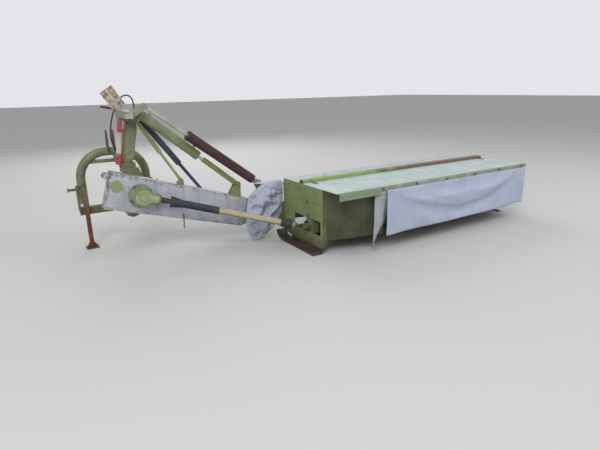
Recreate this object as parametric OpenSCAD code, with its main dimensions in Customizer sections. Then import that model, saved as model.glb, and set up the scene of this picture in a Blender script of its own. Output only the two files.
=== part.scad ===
// Side-hung rear disc mower conditioner for a three-point linkage.
// Seen from behind: X to the right, Y forwards, Z up. Sizes are in millimetres.
// Stations below are measured from the hitch: x from the arch's middle,
// y from the lower link pins (the rear is negative), z from the ground.

/* [Hitch] */
// Distance between the shoulders of the lower link pins
link_span = 825; // [700:5:1000]
// Height of the lower link pins above the ground
link_h = 650; // [560:10:760]
// Radius of the lower link pins
link_pin_r = 14; // [11:0.5:18]
// Length of a lower link pin outside its plate
link_pin_len = 88; // [60:2:120]
// Thickness of the lower link plates
link_plate_t = 14; // [8:1:25]
// Radius of the arch's bent tube
arch_r = 47; // [35:1:60]
// Height of the arch's top above the ground
arch_top = 1100; // [1000:10:1250]
// Radius of the arch's bends, at the tube's middle
arch_bend = 290; // [200:10:320]
// Station of the arch's plane
arch_y = -60; // [-80:5:-50]
// Height of the top link pin above the lower link pins
mast_h = 610; // [500:10:700]
// Radius of the bore for the top link pin
top_bore_r = 12.85; // [9:0.05:16]
// Gap between the two top link plates
top_gap = 58; // [50:1:90]
// Thickness of a top link plate
top_plate_t = 12; // [8:1:20]

/* [Parking leg] */
// Side of the leg's square tube
leg_side = 44; // [30:1:60]
// Wall of the sleeve that holds the leg
sleeve_wall = 6; // [4:0.5:10]
// Running clearance of the leg in its sleeve
leg_gap = 0.5; // [0.3:0.1:2]
// Side of the leg's foot plate
foot_side = 130; // [90:5:200]
// Length of leg above the foot
leg_len = 640; // [560:10:700]
// Length of the sleeve
sleeve_len = 240; // [150:10:300]

/* [Swing frame and column] */
// Station of the swing axis to the right of the hitch's middle
swing_x = 70; // [40:5:100]
// Station of the swing axis behind the lower link pins
swing_y = -500; // [-560:5:-480]
// Radius of the upper swing journal
journal_r = 60; // [45:1:75]
// Radius of the lower swing pin
swing_pin_r = 30; // [20:1:40]
// Radial running clearance of the pins and journals
run_gap = 0.1; // [0.05:0.01:0.1]
// Height of the lower bearing's underside
low_bearing_z = 395; // [360:5:410]
// Height of the upper bearing's underside
top_bearing_z = 930; // [915:5:960]
// Thickness of both bearing rings
bearing_t = 40; // [25:1:60]
// Height of the column's head above the ground
head_z = 1400; // [1350:10:1450]
// Lean of the column towards the mower, at the head
column_lean = 85; // [40:5:110]
// Width of the column
column_w = 105; // [80:5:130]
// Depth of the column
column_d = 110; // [80:5:130]

/* [Boom] */
// Station of the lift axis
lift_x = 100; // [80:5:130]
// Height of the lift axis
lift_z = 665; // [640:5:690]
// Slope of the boom down to the mower, in degrees
boom_tilt = 17; // [10:1:20]
// Length of the boom left of the lift axis
boom_left = 320; // [250:10:330]
// Length of the boom right of the lift axis
boom_right = 1205; // [1100:5:1250]
// Height of the boom's left end
boom_h_left = 370; // [300:5:400]
// Height of the boom's right end
boom_h_right = 325; // [250:5:350]
// Depth of the boom from front to rear
boom_d = 150; // [120:5:160]
// Station of the boom's front face
boom_y = -660; // [-680:5:-655]
// Radius of the hollow trunnion that the boom turns on
trunnion_r = 75; // [60:1:90]
// Radius of the drive's passage through the trunnion
trunnion_bore_r = 52; // [40:1:60]
// Radius of the splined drive input
input_r = 17.45; // [15:0.05:22]
// Length of the splined drive input
input_len = 80; // [60:5:100]
// Radius of the gearbox's round housing
gearbox_r = 100; // [85:1:110]
// Depth of the gearbox's housing
gearbox_d = 135; // [110:5:160]
// Lift of the boom from work to full height, in degrees
lift_range = 28; // [20:1:28]

/* [Lift cylinder, spring and struts] */
// Radius of the lift cylinder's barrel
barrel_r = 50; // [45:1:52]
// Length of the barrel below its pin
barrel_len = 770; // [700:10:800]
// Radius of the chromed rod
rod_r = 20; // [15:1:25]
// Side of the rod's square extension
rod_square = 54; // [40:1:56]
// Length of the rod's square extension
square_len = 455; // [400:5:500]
// Outer radius of the relief spring
coil_r = 52; // [45:1:55]
// Thickness of the spring's wire
coil_wire = 15; // [12:0.5:18]
// Number of turns of the relief spring
coil_turns = 52; // [40:1:60]
// Radius of the bar inside the relief spring
spring_bar_r = 16; // [12:1:20]
// Radius of the pins of the cylinder, the spring and the struts
link_eye_r = 14; // [10:1:18]

/* [Mower] */
// Station of the inner end of the mower
mower_x = 1660; // [1640:10:1700]
// Working length of the mower body
mower_len = 2960; // [2900:20:3100]
// Station of the hood's front edge
hood_front = -1040; // [-1060:5:-1035]
// Depth of the hood from front to rear
hood_depth = 1085; // [1050:5:1120]
// Height of the hood's top above the ground
hood_top = 700; // [680:5:740]
// Thickness of the hood's sheet
sheet_t = 5; // [3:0.5:8]
// Thickness of the mower's end plates
end_t = 10; // [8:1:14]
// Station of the main rail, behind the hood's front edge
rail_back = 375; // [350:5:400]
// Side of the main rail's square tube
rail_side = 80; // [60:5:100]
// Height that the rail stands above the hood
rail_rise = 34; // [20:1:50]
// Station of the float axis, left of the mower's inner end
float_in = 80; // [70:5:100]
// Height of the float axis and of the drive's input
float_z = 260; // [240:5:280]
// Radius of the float pin
float_pin_r = 30; // [22:1:36]

/* [Cutterbar] */
// Number of mowing discs
disc_count = 7; // [7:1:7]
// Distance from each end of the mower to the nearest disc's axis
disc_end = 256; // [252:1:270]
// Station of the disc line behind the hood's front edge
disc_back = 300; // [290:5:320]
// Height of the cutterbar's top
bar_top = 92; // [80:1:98]
// Depth of the cutterbar
bar_d = 300; // [240:10:330]
// Radius that the knives reach
knife_r = 232; // [215:1:240]
// Half length of the oval disc plate
disc_long = 165; // [150:1:175]
// Half width of the oval disc plate
disc_wide = 120; // [100:1:135]
// Thickness of a knife
knife_t = 4; // [3:0.5:6]
// Width of a knife
knife_w = 45; // [35:1:55]
// Radius of the crop drum's foot on both end discs
drum_r = 140; // [110:1:145]
// Height of the crop drums
drum_h = 250; // [150:5:300]

/* [Conditioner] */
// Station of the rotor behind the hood's front edge
rotor_back = 765; // [755:5:780]
// Height of the rotor's axis
rotor_z = 430; // [410:5:450]
// Radius of the rotor's tube
rotor_r = 62; // [45:1:80]
// Radius that the tines reach
tine_r = 180; // [150:1:185]
// Number of tine rows round the rotor
tine_rows = 4; // [4:1:6]
// Distance between the tines of a row
tine_pitch = 130; // [100:5:200]
// Width of a tine's foot
tine_w = 62; // [40:1:80]
// Thickness of a tine
tine_t = 10; // [6:1:14]
// Distance from each end of the mower to the rotor's tube
rotor_in = 500; // [480:5:560]

/* [Curtains] */
// Thickness of the curtains
curtain_t = 6; // [4:0.5:10]
// Height of the curtains' hem above the ground
hem_z = 175; // [120:5:240]
// Station of the rear curtain's inner end, from the mower's inner end
rear_gap = 600; // [540:10:640]
// Width of the loose flap at the rear curtain's inner end
flap_w = 115; // [80:5:150]

/* [Signs] */
// Width of a warning board
board_w = 140; // [100:5:160]
// Height of the striped board on the column
board_h = 440; // [380:5:460]
// Thickness of the boards
board_t = 3; // [2:0.5:5]

/* [Hidden] */
$fn = 64;
// A cut goes past a face by this much
over = 1;
// Clearance of a soft or loose piece from its neighbour
seat = 0.3;
// Side play of an eye between its ears
side_play = 0.5;

// Striped board: it stands off its straps, which lie on the column's side plate
side_plate_t = 8;
strap_t = 4;
board_off = 15;
board_y = swing_y - column_d / 2 - side_plate_t - seat - strap_t - board_off - board_t;

// Hitch
link_x = link_span / 2;
arch_wall = 8;
leg_x = link_x - link_plate_t - arch_r;
cross_side = 80;
cross_z = low_bearing_z + bearing_t / 2;
top_z = link_h + mast_h;
top_y = arch_y - 45;

// Parking leg, behind the left arch leg's foot
stand_x = -leg_x + 6;
stand_y = arch_y - arch_r - sleeve_wall - leg_gap - leg_side / 2 - 8;
foot_t = 10;

// Swing frame
frame_t = 25;
frame_y = boom_y + 12;
frame_w = 230;
journal_top = top_bearing_z + bearing_t + 20;
head_x = swing_x + column_lean;

// Boom: stations along the boom from the lift axis
boom_wall = 8;
boom_back = boom_y - boom_d;
gearbox_y = boom_back - gearbox_d;
nose_y = swing_y + 10;

// Links between the head and the boom: top x, top z, foot x, foot z, y, eye width
cyl = [170, 1500, 1200, 640, -750, 50];
spr = [215, 1550, 1400, 655, -884, 36];
tie = [160, 1425, 575, 745, -672, 24];
strut = [215, 1440, 845, 570, -612, 40];
function link_angle(l) = atan2(l[1] - l[3], l[2] - l[0]);
function link_len(l) = norm([l[2] - l[0], l[3] - l[1]]);
function lifted_x(l) = lift_x + (l[2] - lift_x) * cos(lift_range) - (l[3] - lift_z) * sin(lift_range);
function lifted_z(l) = lift_z + (l[2] - lift_x) * sin(lift_range) + (l[3] - lift_z) * cos(lift_range);
function stroke(l) = link_len(l) - norm([lifted_x(l) - l[0], lifted_z(l) - l[1]]);
ear_r = 30;
ear_t = 9;
eye_r = 26;
head_back = 95;
head_side = 70;
head_front = swing_y + column_d / 2;
head_rear = spr[4] - spr[5] / 2 - 30;
head_top = head_z + 40 + head_side;
tie_r = 14;
tie_sleeve_r = 22;
tie_sleeve_len = 420;
strut_r = 32;
strut_len = 640;
strut_rod_r = 18;
coil_pitch = coil_wire + 1.5;
coil_len = coil_turns * coil_pitch;
coil_foot = 95;
bore_gap = 1.5;
// Room between the spring's bar and the coil's foot at full lift
bar_gap = 10;

// Mower
mower_end = mower_x + mower_len;
hood_rear = hood_front - hood_depth;
rail_y = hood_front - rail_back;
plate_front = hood_front - sheet_t - 1;
float_x = mower_x - float_in;
disc_y = hood_front - disc_back;
disc_first = mower_x + disc_end;
disc_pitch = (mower_len - 2 * disc_end) / (disc_count - 1);
rotor_y = hood_front - rotor_back;
rotor_x0 = mower_x + rotor_in;
rotor_x1 = mower_end - rotor_in;
// Hinges of the front panel: axis, and half of a knuckle of the panel
hinge_r = 10;
hinge_pin_r = 6;
hinge_y = rail_y + rail_side / 2 + hinge_r + 1;
hinge_z = hood_top + 12;
hinge_half = 30;
hinge_count = 4;
hinge_in = 300;
bar_bottom = 38;
skid_t = 12;
disc_gap = 6;

// Drive shaft between the gearbox and the mower, joint to joint
shaft_a = [lift_x + 235 * cos(boom_tilt), boom_back - 92, lift_z - 235 * sin(boom_tilt)];
shaft_b = [float_x, hood_front - 520, float_z];
shaft_len = norm(shaft_b - shaft_a);
cross_half = 28;

bush_rear = hood_front + 60;
carrier_t = 60;
lug_y = hood_front + 50;
lug_t = 25;
disc_top_z = bar_top + disc_gap + 70;
// Shaft that stands up from the cutterbar into each disc
hub_shaft_r = 20;
hub_shaft_h = 30;
cover_y = lug_y - lug_t - seat;
cover_t = 5;
cover_bar_z = 630;
// Cloth over the float pivot: outline in x and z
cover_outline = [[float_x - 420, 250], [float_x - 370, 560], [float_x - 290, 600], [float_x - 180, 665],
  [float_x + 76, 655], [float_x + 70, 260], [float_x - 210, 35], [float_x - 350, 50]];

// Outer reach of the whole machine, from which its origin comes
reach_left = -link_x - link_pin_len;
shoe_out = 40;
reach_right = mower_end + shoe_out;
curtain_out = curtain_t + seat;
reach_rear = hood_rear - sheet_t - curtain_out;
reach_front = link_plate_reach();
function link_plate_reach() = 42;
shift = [-(reach_left + reach_right) / 2, -(reach_front + reach_rear) / 2, 0];

// Plate cut to an outline in x and z, from station y rearwards by t
module xz_plate(y, t) {
  translate([0, y, 0]) rotate([90, 0, 0]) linear_extrude(t) children();
}

// Plate cut to an outline in y and z, from station x to the right by t
module yz_plate(x, t) {
  translate([x, 0, 0]) rotate([90, 0, 90]) linear_extrude(t) children();
}

// Round bar along y from station y rearwards
module y_bar(x, y, z, r, t) {
  translate([x, y, z]) rotate([90, 0, 0]) cylinder(r = r, h = t);
}

// Round bar along x
module x_bar(x, y, z, r, t) {
  translate([x, y, z]) rotate([0, 90, 0]) cylinder(r = r, h = t);
}

// Puts a piece drawn along +x from a link's top pin on the link's line
module on_link(l) {
  translate([l[0], l[4], l[1]]) rotate([0, link_angle(l), 0]) children();
}

// Puts a piece drawn round the lift axis on the sloping boom
module on_boom() {
  translate([lift_x, 0, lift_z]) rotate([0, boom_tilt, 0]) children();
}

// Puts a piece drawn along +z from a on the line from a to b
module between(a, b) {
  d = b - a;
  translate(a) rotate([0, acos(d[2] / norm(d)), atan2(d[1], d[0])]) children();
}

// Bent tube arch between the lower link plates, open at its feet
module arch() {
  color("#7f9a3c") translate(shift) difference() {
    arch_form(arch_r, 90);
    arch_form(arch_r - arch_wall, 90 + over);
  }
}

// Form of the arch's tube with radius r, its feet this far below the lower link pins
module arch_form(r, foot) {
  leg_top = arch_top - arch_r - arch_bend;
  crown = 2 * (leg_x - arch_bend);
  for (s = [-1, 1]) {
    translate([s * leg_x, arch_y, link_h - foot]) cylinder(r = r, h = leg_top - link_h + foot);
    translate([s * (leg_x - arch_bend), arch_y, leg_top]) rotate([90, 0, 0])
      rotate_extrude(angle = 90, start = s > 0 ? 0 : 90) translate([arch_bend, 0]) circle(r);
  }
  x_bar(-crown / 2, arch_y, arch_top - arch_r, r, crown);
}

// Two plates with the lower link pins, and the square tube between them
module link_plates() {
  color("#6f8738") translate(shift) {
    r = link_plate_reach();
    for (s = [-1, 1]) {
      difference() {
        union() {
          yz_plate(s > 0 ? link_x - link_plate_t : -link_x, link_plate_t)
            polygon([[arch_y - 60, cross_z - cross_side / 2], [r - 18, cross_z - cross_side / 2 + 40],
              [r - 18, link_h], [r - 30, link_h + 40], [arch_y - 20, link_h + 60], [arch_y - 60, link_h + 40]]);
          x_bar(s > 0 ? link_x - link_plate_t : -link_x, 0, link_h, r, link_plate_t);
          x_bar(s > 0 ? link_x - over : -link_x - link_pin_len, 0, link_h, link_pin_r, link_pin_len + over);
        }
      }
    }
    translate([-link_x + link_plate_t - over, arch_y - cross_side / 2, cross_z - cross_side / 2])
      cube([link_span - 2 * link_plate_t + 2 * over, cross_side, cross_side]);
  }
}

// Arms from the arch and the square tube to the two swing bearings
module bearing_bracket() {
  color("#7f9a3c") translate(shift) {
    arm_w = 110;
    ring_r = journal_r + 24;
    bar_up = top_bearing_z + bearing_t / 2 - (arch_top - arch_r - arch_bend);
    bar_half = leg_x - arch_bend + sqrt(arch_bend * arch_bend - bar_up * bar_up);
    difference() {
      union() {
        translate([swing_x, swing_y, top_bearing_z]) cylinder(r = ring_r, h = bearing_t);
        translate([swing_x - arm_w / 2, swing_y, top_bearing_z])
          cube([arm_w, arch_y - swing_y, bearing_t]);
        for (s = [-1, 1])
          yz_plate(swing_x + s * (arm_w / 2 - 6) - 6, 12)
            polygon([[swing_y + ring_r, top_bearing_z + bearing_t - over],
              [arch_y, top_bearing_z + bearing_t - over], [arch_y, arch_top - 2 * arch_r + 30],
              [arch_y - 40, arch_top - 2 * arch_r + 30]]);
        translate([0, arch_y, top_bearing_z + bearing_t / 2])
          cube([2 * bar_half, 30, bearing_t], center = true);
      }
      translate([swing_x, swing_y, top_bearing_z - over])
        cylinder(r = journal_r + run_gap, h = bearing_t + 2 * over);
      arch_form(arch_r, 90);
    }
    difference() {
      union() {
        translate([swing_x, swing_y, low_bearing_z]) cylinder(r = swing_pin_r + 30, h = bearing_t);
        translate([swing_x - arm_w / 2, swing_y, low_bearing_z])
          cube([arm_w, arch_y - cross_side / 2 - swing_y, bearing_t]);
      }
      translate([swing_x, swing_y, low_bearing_z - over])
        cylinder(r = swing_pin_r + run_gap, h = bearing_t + 2 * over);
    }
  }
}

// Two plates that rise from the arch to the top link pin
module top_link_plates() {
  color("#8a5a3c") translate(shift) difference() {
    for (s = [-1, 1])
      translate([s * (top_gap + top_plate_t) / 2 - top_plate_t / 2, 0, 0]) {
        yz_plate(0, top_plate_t)
          polygon([[arch_y + arch_r - 4, arch_top - arch_r], [top_y + 32, top_z],
            [top_y - 32, top_z], [arch_y - arch_r - 40, arch_top - arch_r]]);
        x_bar(0, top_y, top_z, 32, top_plate_t);
      }
    x_bar(-top_gap, top_y, top_z, top_bore_r, 2 * top_gap);
    arch_form(arch_r, 90);
  }
}

// Square sleeve that holds the parking leg, behind the left foot of the arch
module leg_sleeve() {
  color("#7f9a3c") translate(shift) {
    side = leg_side + 2 * leg_gap;
    out = side + 2 * sleeve_wall;
    z = link_h - sleeve_len + 60;
    difference() {
      union() {
        translate([stand_x - out / 2, stand_y - out / 2, z]) cube([out, out, sleeve_len]);
        translate([-link_x + link_plate_t, stand_y, z + 40])
          cube([stand_x + link_x - link_plate_t, 12, sleeve_len - 80]);
        translate([stand_x - out / 2, stand_y, z + 60])
          cube([out, arch_y - stand_y, sleeve_len - 120]);
      }
      translate([stand_x - side / 2, stand_y - side / 2, z - over])
        cube([side, side, sleeve_len + 2 * over]);
      translate([-leg_x, arch_y, 0]) cylinder(r = arch_r, h = arch_top);
    }
  }
}

// Parking leg with its foot on the ground
module parking_leg() {
  color("#8a5a3c") translate(shift) translate([stand_x, stand_y, 0]) {
    translate([-foot_side / 2, -foot_side / 2, 0]) cube([foot_side, foot_side, foot_t]);
    translate([-leg_side / 2, -leg_side / 2, foot_t - over]) cube([leg_side, leg_side, leg_len]);
    for (s = [0, 90]) rotate(s)
      translate([0, 5, foot_t - over]) rotate([90, 0, 0])
        linear_extrude(10) polygon([[-foot_side / 2 + 10, 0], [foot_side / 2 - 10, 0], [0, 110]]);
  }
}

// Frame that swings on the two bearings and holds the hollow trunnion
module swing_frame() {
  color("#6f8738") translate(shift) {
    hub_r = journal_r + 20;
    low_hub_z = low_bearing_z + bearing_t + side_play;
    top_hub_z = top_bearing_z - side_play;
    arm_t = 45;
    difference() {
      union() {
        xz_plate(frame_y + frame_t, frame_t) polygon([
          [swing_x - hub_r, top_hub_z], [swing_x - hub_r, top_hub_z - arm_t],
          [lift_x - frame_w / 2, lift_z + 80], [lift_x - frame_w / 2, lift_z - 90],
          [swing_x - swing_pin_r - 20, low_hub_z + arm_t], [swing_x - swing_pin_r - 20, low_hub_z],
          [swing_x + swing_pin_r + 40, low_hub_z], [lift_x + frame_w / 2, lift_z - 90],
          [lift_x + frame_w / 2, lift_z + 80], [swing_x + hub_r, top_hub_z]]);
        translate([swing_x, swing_y, top_hub_z - arm_t]) cylinder(r = hub_r, h = arm_t);
        translate([swing_x - hub_r, frame_y + over, top_hub_z - arm_t])
          cube([2 * hub_r, swing_y - frame_y - over, arm_t]);
        translate([swing_x, swing_y, top_hub_z - over]) cylinder(r = journal_r, h = journal_top - top_hub_z + over);
        translate([swing_x, swing_y, low_hub_z]) cylinder(r = swing_pin_r + 20, h = arm_t);
        translate([swing_x - swing_pin_r - 20, frame_y + over, low_hub_z])
          cube([2 * swing_pin_r + 40, swing_y - frame_y - over, arm_t]);
        translate([swing_x, swing_y, low_bearing_z - 15])
          cylinder(r = swing_pin_r, h = low_hub_z - low_bearing_z + 15 + over);
        y_bar(lift_x, frame_y + over, lift_z, trunnion_r + 22, frame_y - boom_y - side_play + over);
        y_bar(lift_x, frame_y + over, lift_z, trunnion_r, frame_y - boom_back + over - side_play);
      }
      y_bar(lift_x, frame_y + frame_t + over, lift_z, trunnion_bore_r, boom_d + frame_t + 100);
    }
  }
}

// Leaning column on the swing journal, with its side plates
module column() {
  color("#7f9a3c") translate(shift) {
    foot = journal_top;
    half = column_w / 2;
    xz_plate(swing_y + column_d / 2, column_d) polygon([
      [swing_x - half, foot], [swing_x + half, foot], [swing_x + half + 8, foot + 60],
      [head_x + half, head_z], [head_x - half, head_z], [swing_x - half - 4, foot + 60]]);
    for (y = [swing_y + column_d / 2 + side_plate_t, swing_y - column_d / 2])
      xz_plate(y, side_plate_t) polygon([
        [swing_x - half - 22, foot + 20], [swing_x + half + 10, foot + 20],
        [head_x + half - 5, head_z - 60], [head_x - half - 30, head_z - 90]]);
  }
}

// Ears of the head for one link, with the pin that the link turns on
module head_ears(l) {
  w = l[5] / 2 + side_play;
  for (y = [l[4] + w + ear_t, l[4] - w])
    xz_plate(y, ear_t) union() {
      translate([l[0], l[1]]) circle(ear_r);
      polygon([[head_back - over, head_z + 40], [l[0], l[1] - ear_r],
        [l[0], l[1] + ear_r], [head_back - over, head_top]]);
    }
  y_bar(l[0], l[4] + w + ear_t + 5, l[1], link_eye_r, 2 * (w + ear_t) + 10);
}

// Housing on the column: cross tube and one pair of ears for each link
module head() {
  color("#7f9a3c") translate(shift) {
    translate([head_back - head_side, head_rear, head_z + 40])
      cube([head_side, head_front - head_rear, head_side]);
    xz_plate(head_front, column_d) polygon([
      [head_back - head_side, head_z], [head_x + column_w / 2, head_z],
      [head_x + column_w / 2, head_z + 15], [head_back - over, head_z + 40 + head_side],
      [head_back - head_side, head_z + 40 + head_side]]);
    for (l = [strut, tie, cyl, spr]) head_ears(l);
  }
}

// Striped warning board beside the column, on two brackets
module striped_board() {
  color("#b8584a") translate(shift)
    translate([swing_x - column_w / 2 - 78, board_y, journal_top - 20]) rotate([0, 9, 0]) {
      cube([50, board_t, board_h]);
      for (z = [60, board_h - 110]) {
        translate([18, board_t - over, z]) cube([14, board_off + over + strap_t / 2, 24]);
        translate([18, board_t + board_off, z]) cube([70, strap_t, 24]);
      }
    }
}

// Two tilted warning boards on a bracket above the head
module top_boards() {
  color("#d9cdb8") translate(shift)
    translate([head_back - 40, head_front - 40, head_top]) {
      translate([-15, -6.5, 0]) cube([30, 9, 59]);
      translate([0, 0, 40]) rotate([0, -32, 0]) {
        translate([-board_w / 2, -8 - board_t + over, -10]) cube([board_w / 2 - 3, board_t, 205]);
        translate([3, -8 - board_t + over, -35]) cube([board_w / 2 - 3, board_t, 230]);
        translate([-board_w / 2, -8, 50]) cube([board_w, 8, 20]);
        translate([-12, -8, -20]) cube([24, 8, 80]);
      }
    }
}

// Eye of a link round its top pin, with a running clearance
module top_eye(l) {
  difference() {
    union() {
      y_bar(0, l[5] / 2, 0, eye_r, l[5]);
      translate([0, -l[5] / 2, -eye_r * 0.7]) cube([55, l[5], eye_r * 1.4]);
    }
    y_bar(0, l[5], 0, link_eye_r + run_gap, 2 * l[5]);
  }
}

// Lift cylinder's barrel, open at its gland for the rod
module cylinder_barrel() {
  color("#8fa548") translate(shift) on_link(cyl) {
    top_eye(cyl);
    difference() {
      union() {
        x_bar(40, 0, 0, barrel_r, barrel_len - 40);
        x_bar(barrel_len - 45, 0, 0, barrel_r + 1.5, 45);
        translate([120, 0, barrel_r - 4]) cylinder(r = 14, h = 16);
        translate([barrel_len - 90, 0, barrel_r - 4]) cylinder(r = 14, h = 16);
      }
      x_bar(70, 0, 0, barrel_r - 7, barrel_len);
    }
  }
}

// Rod with its square extension and its eye at the boom
module cylinder_rod() {
  color("#7f9a3c") translate(shift) on_link(cyl) {
    reach = link_len(cyl);
    square_x = reach - 45 - square_len;
    x_bar(barrel_len - 25, 0, 0, barrel_r - 7 - bore_gap, 25);
    x_bar(barrel_len - 60, 0, 0, rod_r, square_x - barrel_len + 61);
    translate([square_x, -rod_square / 2, -rod_square / 2]) cube([square_len, rod_square, rod_square]);
    translate([square_x + square_len - over, -cyl[5] / 2, -eye_r * 0.7])
      cube([46, cyl[5], eye_r * 1.4]);
    y_bar(reach, cyl[5] / 2, 0, eye_r, cyl[5]);
  }
}

// Bar that the relief spring slides along, with its flat strap at the head
module spring_bar() {
  color("#c9ccc0") translate(shift) on_link(spr) {
    top_eye(spr);
    x_bar(50, 0, 0, spring_bar_r, link_len(spr) - coil_foot - stroke(spr) - bar_gap - 50);
    translate([50, -spr[5] / 2, -6]) cube([330, spr[5], 12]);
  }
}

// Tight coil with its cap and its lower eye
module relief_spring() {
  color("#5b3a2c") translate(shift) on_link(spr) {
    reach = link_len(spr);
    first = reach - coil_foot - coil_len;
    last = reach - coil_foot;
    translate([first, 0, 0]) rotate([0, 90, 0]) rotate_extrude() difference() {
      union() {
        translate([coil_r - coil_wire, 0]) square([coil_wire / 2, coil_len]);
        for (i = [0 : coil_turns - 1])
          translate([coil_r - coil_wire / 2, (i + 0.5) * coil_pitch]) circle(coil_wire / 2, $fn = 16);
      }
    }
    difference() {
      x_bar(first - 26, 0, 0, coil_r + 2, 27);
      x_bar(first - 30, 0, 0, spr[5] / 2 + 6, 40);
    }
    x_bar(last - over, 0, 0, coil_r - 2, 22);
    translate([last, -spr[5] / 2, -16]) cube([coil_foot - 10, spr[5], 32]);
    y_bar(reach, spr[5] / 2, 0, eye_r + 6, spr[5]);
  }
}

// Sleeve of the telescopic tie
module tie_sleeve() {
  color("#a9ad4a") translate(shift) on_link(tie) {
    top_eye(tie);
    difference() {
      x_bar(45, 0, 0, tie_sleeve_r, tie_sleeve_len - 45);
      x_bar(60, 0, 0, tie_r + bore_gap, tie_sleeve_len);
    }
  }
}

// Rod of the telescopic tie with its eye on the boom
module tie_rod() {
  color("#a9ad4a") translate(shift) on_link(tie) {
    reach = link_len(tie);
    x_bar(tie_sleeve_len - 40, 0, 0, tie_r, reach - tie_sleeve_len + 40 - 55);
    translate([reach - 70, -tie[5] / 2, -14]) cube([60, tie[5], 28]);
    y_bar(reach, tie[5] / 2, 0, 22, tie[5]);
  }
}

// Tube of the dark strut beside the lift cylinder
module strut_tube() {
  color("#2c3648") translate(shift) on_link(strut) {
    top_eye(strut);
    difference() {
      x_bar(45, 0, 0, strut_r, strut_len - 45);
      x_bar(60, 0, 0, strut_rod_r + bore_gap, strut_len);
    }
  }
}

// Rod of the dark strut with its eye on the boom's front face
module strut_rod() {
  color("#2c3648") translate(shift) on_link(strut) {
    reach = link_len(strut);
    x_bar(strut_len - 60, 0, 0, strut_rod_r, reach - strut_len + 60 - 15);
    y_bar(reach, strut[5] / 2, 0, eye_r, strut[5]);
  }
}

// Tapered box boom with the bore that turns on the trunnion
module boom_beam() {
  color("#d9dbd6") translate(shift) difference() {
    union() {
      on_boom() {
        difference() {
          xz_plate(boom_y, boom_d) polygon([
            [-boom_left, -boom_h_left / 2], [boom_right, -boom_h_right / 2],
            [boom_right, boom_h_right / 2], [-boom_left, boom_h_left / 2]]);
          xz_plate(boom_y - boom_wall, boom_d - 2 * boom_wall) polygon([
            [-boom_left + boom_wall, -boom_h_left / 2 + boom_wall],
            [boom_right - 2 * boom_wall, -boom_h_right / 2 + boom_wall],
            [boom_right - 2 * boom_wall, boom_h_right / 2 - boom_wall],
            [-boom_left + boom_wall, boom_h_left / 2 - boom_wall]]);
        }
        y_bar(0, boom_y, 0, trunnion_r + 15, boom_d);
        xz_plate(boom_y + 4, boom_d + 8) polygon([
          [-boom_left, -boom_h_left / 2 - 8], [boom_right, -boom_h_right / 2 - 8],
          [boom_right, -boom_h_right / 2 + over], [-boom_left, -boom_h_left / 2 + over]]);
        xz_plate(boom_y - 18, 12) clevis_outline();
        xz_plate(boom_y - boom_d + 30, 12) clevis_outline();
      }
      y_bar(strut[2], strut[4] - strut[5] / 2 - side_play, strut[3], 32,
        strut[4] - strut[5] / 2 - side_play - boom_y + over);
    }
    y_bar(lift_x, boom_y + over, lift_z, trunnion_r + run_gap, boom_d + 2 * over);
  }
}

// Outline of the clevis ears at the boom's left end
module clevis_outline() {
  translate([-boom_left - 28, boom_h_left / 2 - 60]) difference() {
    union() {
      circle(34);
      translate([0, -34]) square([60, 68]);
    }
    circle(13);
  }
}

// Round gearbox on the boom's rear face, with its splined input
module gearbox() {
  color("#7f9a3c") translate(shift) {
    y_bar(lift_x, boom_back, lift_z, gearbox_r, gearbox_d);
    y_bar(lift_x, boom_back, lift_z, gearbox_r + 22, 18);
    y_bar(lift_x, gearbox_y + over, lift_z, gearbox_r - 18, 15);
    y_bar(lift_x, gearbox_y - 10, lift_z, 34, 14);
    for (a = [45 : 90 : 315]) translate([lift_x, 0, lift_z]) rotate([0, a, 0])
      y_bar(gearbox_r - 32, gearbox_y - 12, 0, 9, 12);
    on_boom() {
      x_bar(gearbox_r - 30, shaft_a[1], 0, 62, 85);
      x_bar(gearbox_r + 54, shaft_a[1], 0, 48, 24);
      x_bar(-gearbox_r - 22, shaft_a[1], 0, 50, 60);
    }
    y_bar(lift_x, frame_y - 10, lift_z, trunnion_bore_r - 6, frame_y - boom_back - 10 + over);
    y_bar(lift_x, nose_y + input_len, lift_z, input_r, input_len + over);
    y_bar(lift_x, nose_y, lift_z, 30, nose_y - frame_y + 11);
  }
}

// Bracket on the boom with the two ears for the rod's eye, and the tie's lug
module rod_bracket() {
  color("#8fa548") translate(shift) {
    for (y = [cyl[4] + cyl[5] / 2 + side_play + 10, cyl[4] - cyl[5] / 2 - side_play]) bracket_ear(cyl, y, 10, 34, 70);
    for (y = [tie[4] + tie[5] / 2 + side_play + 7, tie[4] - tie[5] / 2 - side_play]) bracket_ear(tie, y, 7, 24, 40);
    y_bar(cyl[2], cyl[4] + cyl[5] / 2 + side_play + 24, cyl[3], 20, 15);
    y_bar(cyl[2], cyl[4] - cyl[5] / 2 - side_play - 9, cyl[3], 20, 12);
  }
}

// Ear of a bracket, from a link's lower pin down to the boom's top face
module bracket_ear(l, y, t, r, w) {
  along = ((l[2] - lift_x) * cos(boom_tilt) - (l[3] - lift_z) * sin(boom_tilt));
  up = ((l[2] - lift_x) * sin(boom_tilt) + (l[3] - lift_z) * cos(boom_tilt));
  top = boom_h_left / 2 + (boom_h_right - boom_h_left) / 2 * (along + boom_left) / (boom_left + boom_right);
  slope = (boom_h_right - boom_h_left) / 2 / (boom_left + boom_right);
  on_boom() xz_plate(y, t) union() {
    translate([along, up]) circle(r);
    polygon([[along - w, top - w * slope], [along + w, top + w * slope], [along + r, up], [along - r, up]]);
  }
}

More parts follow.
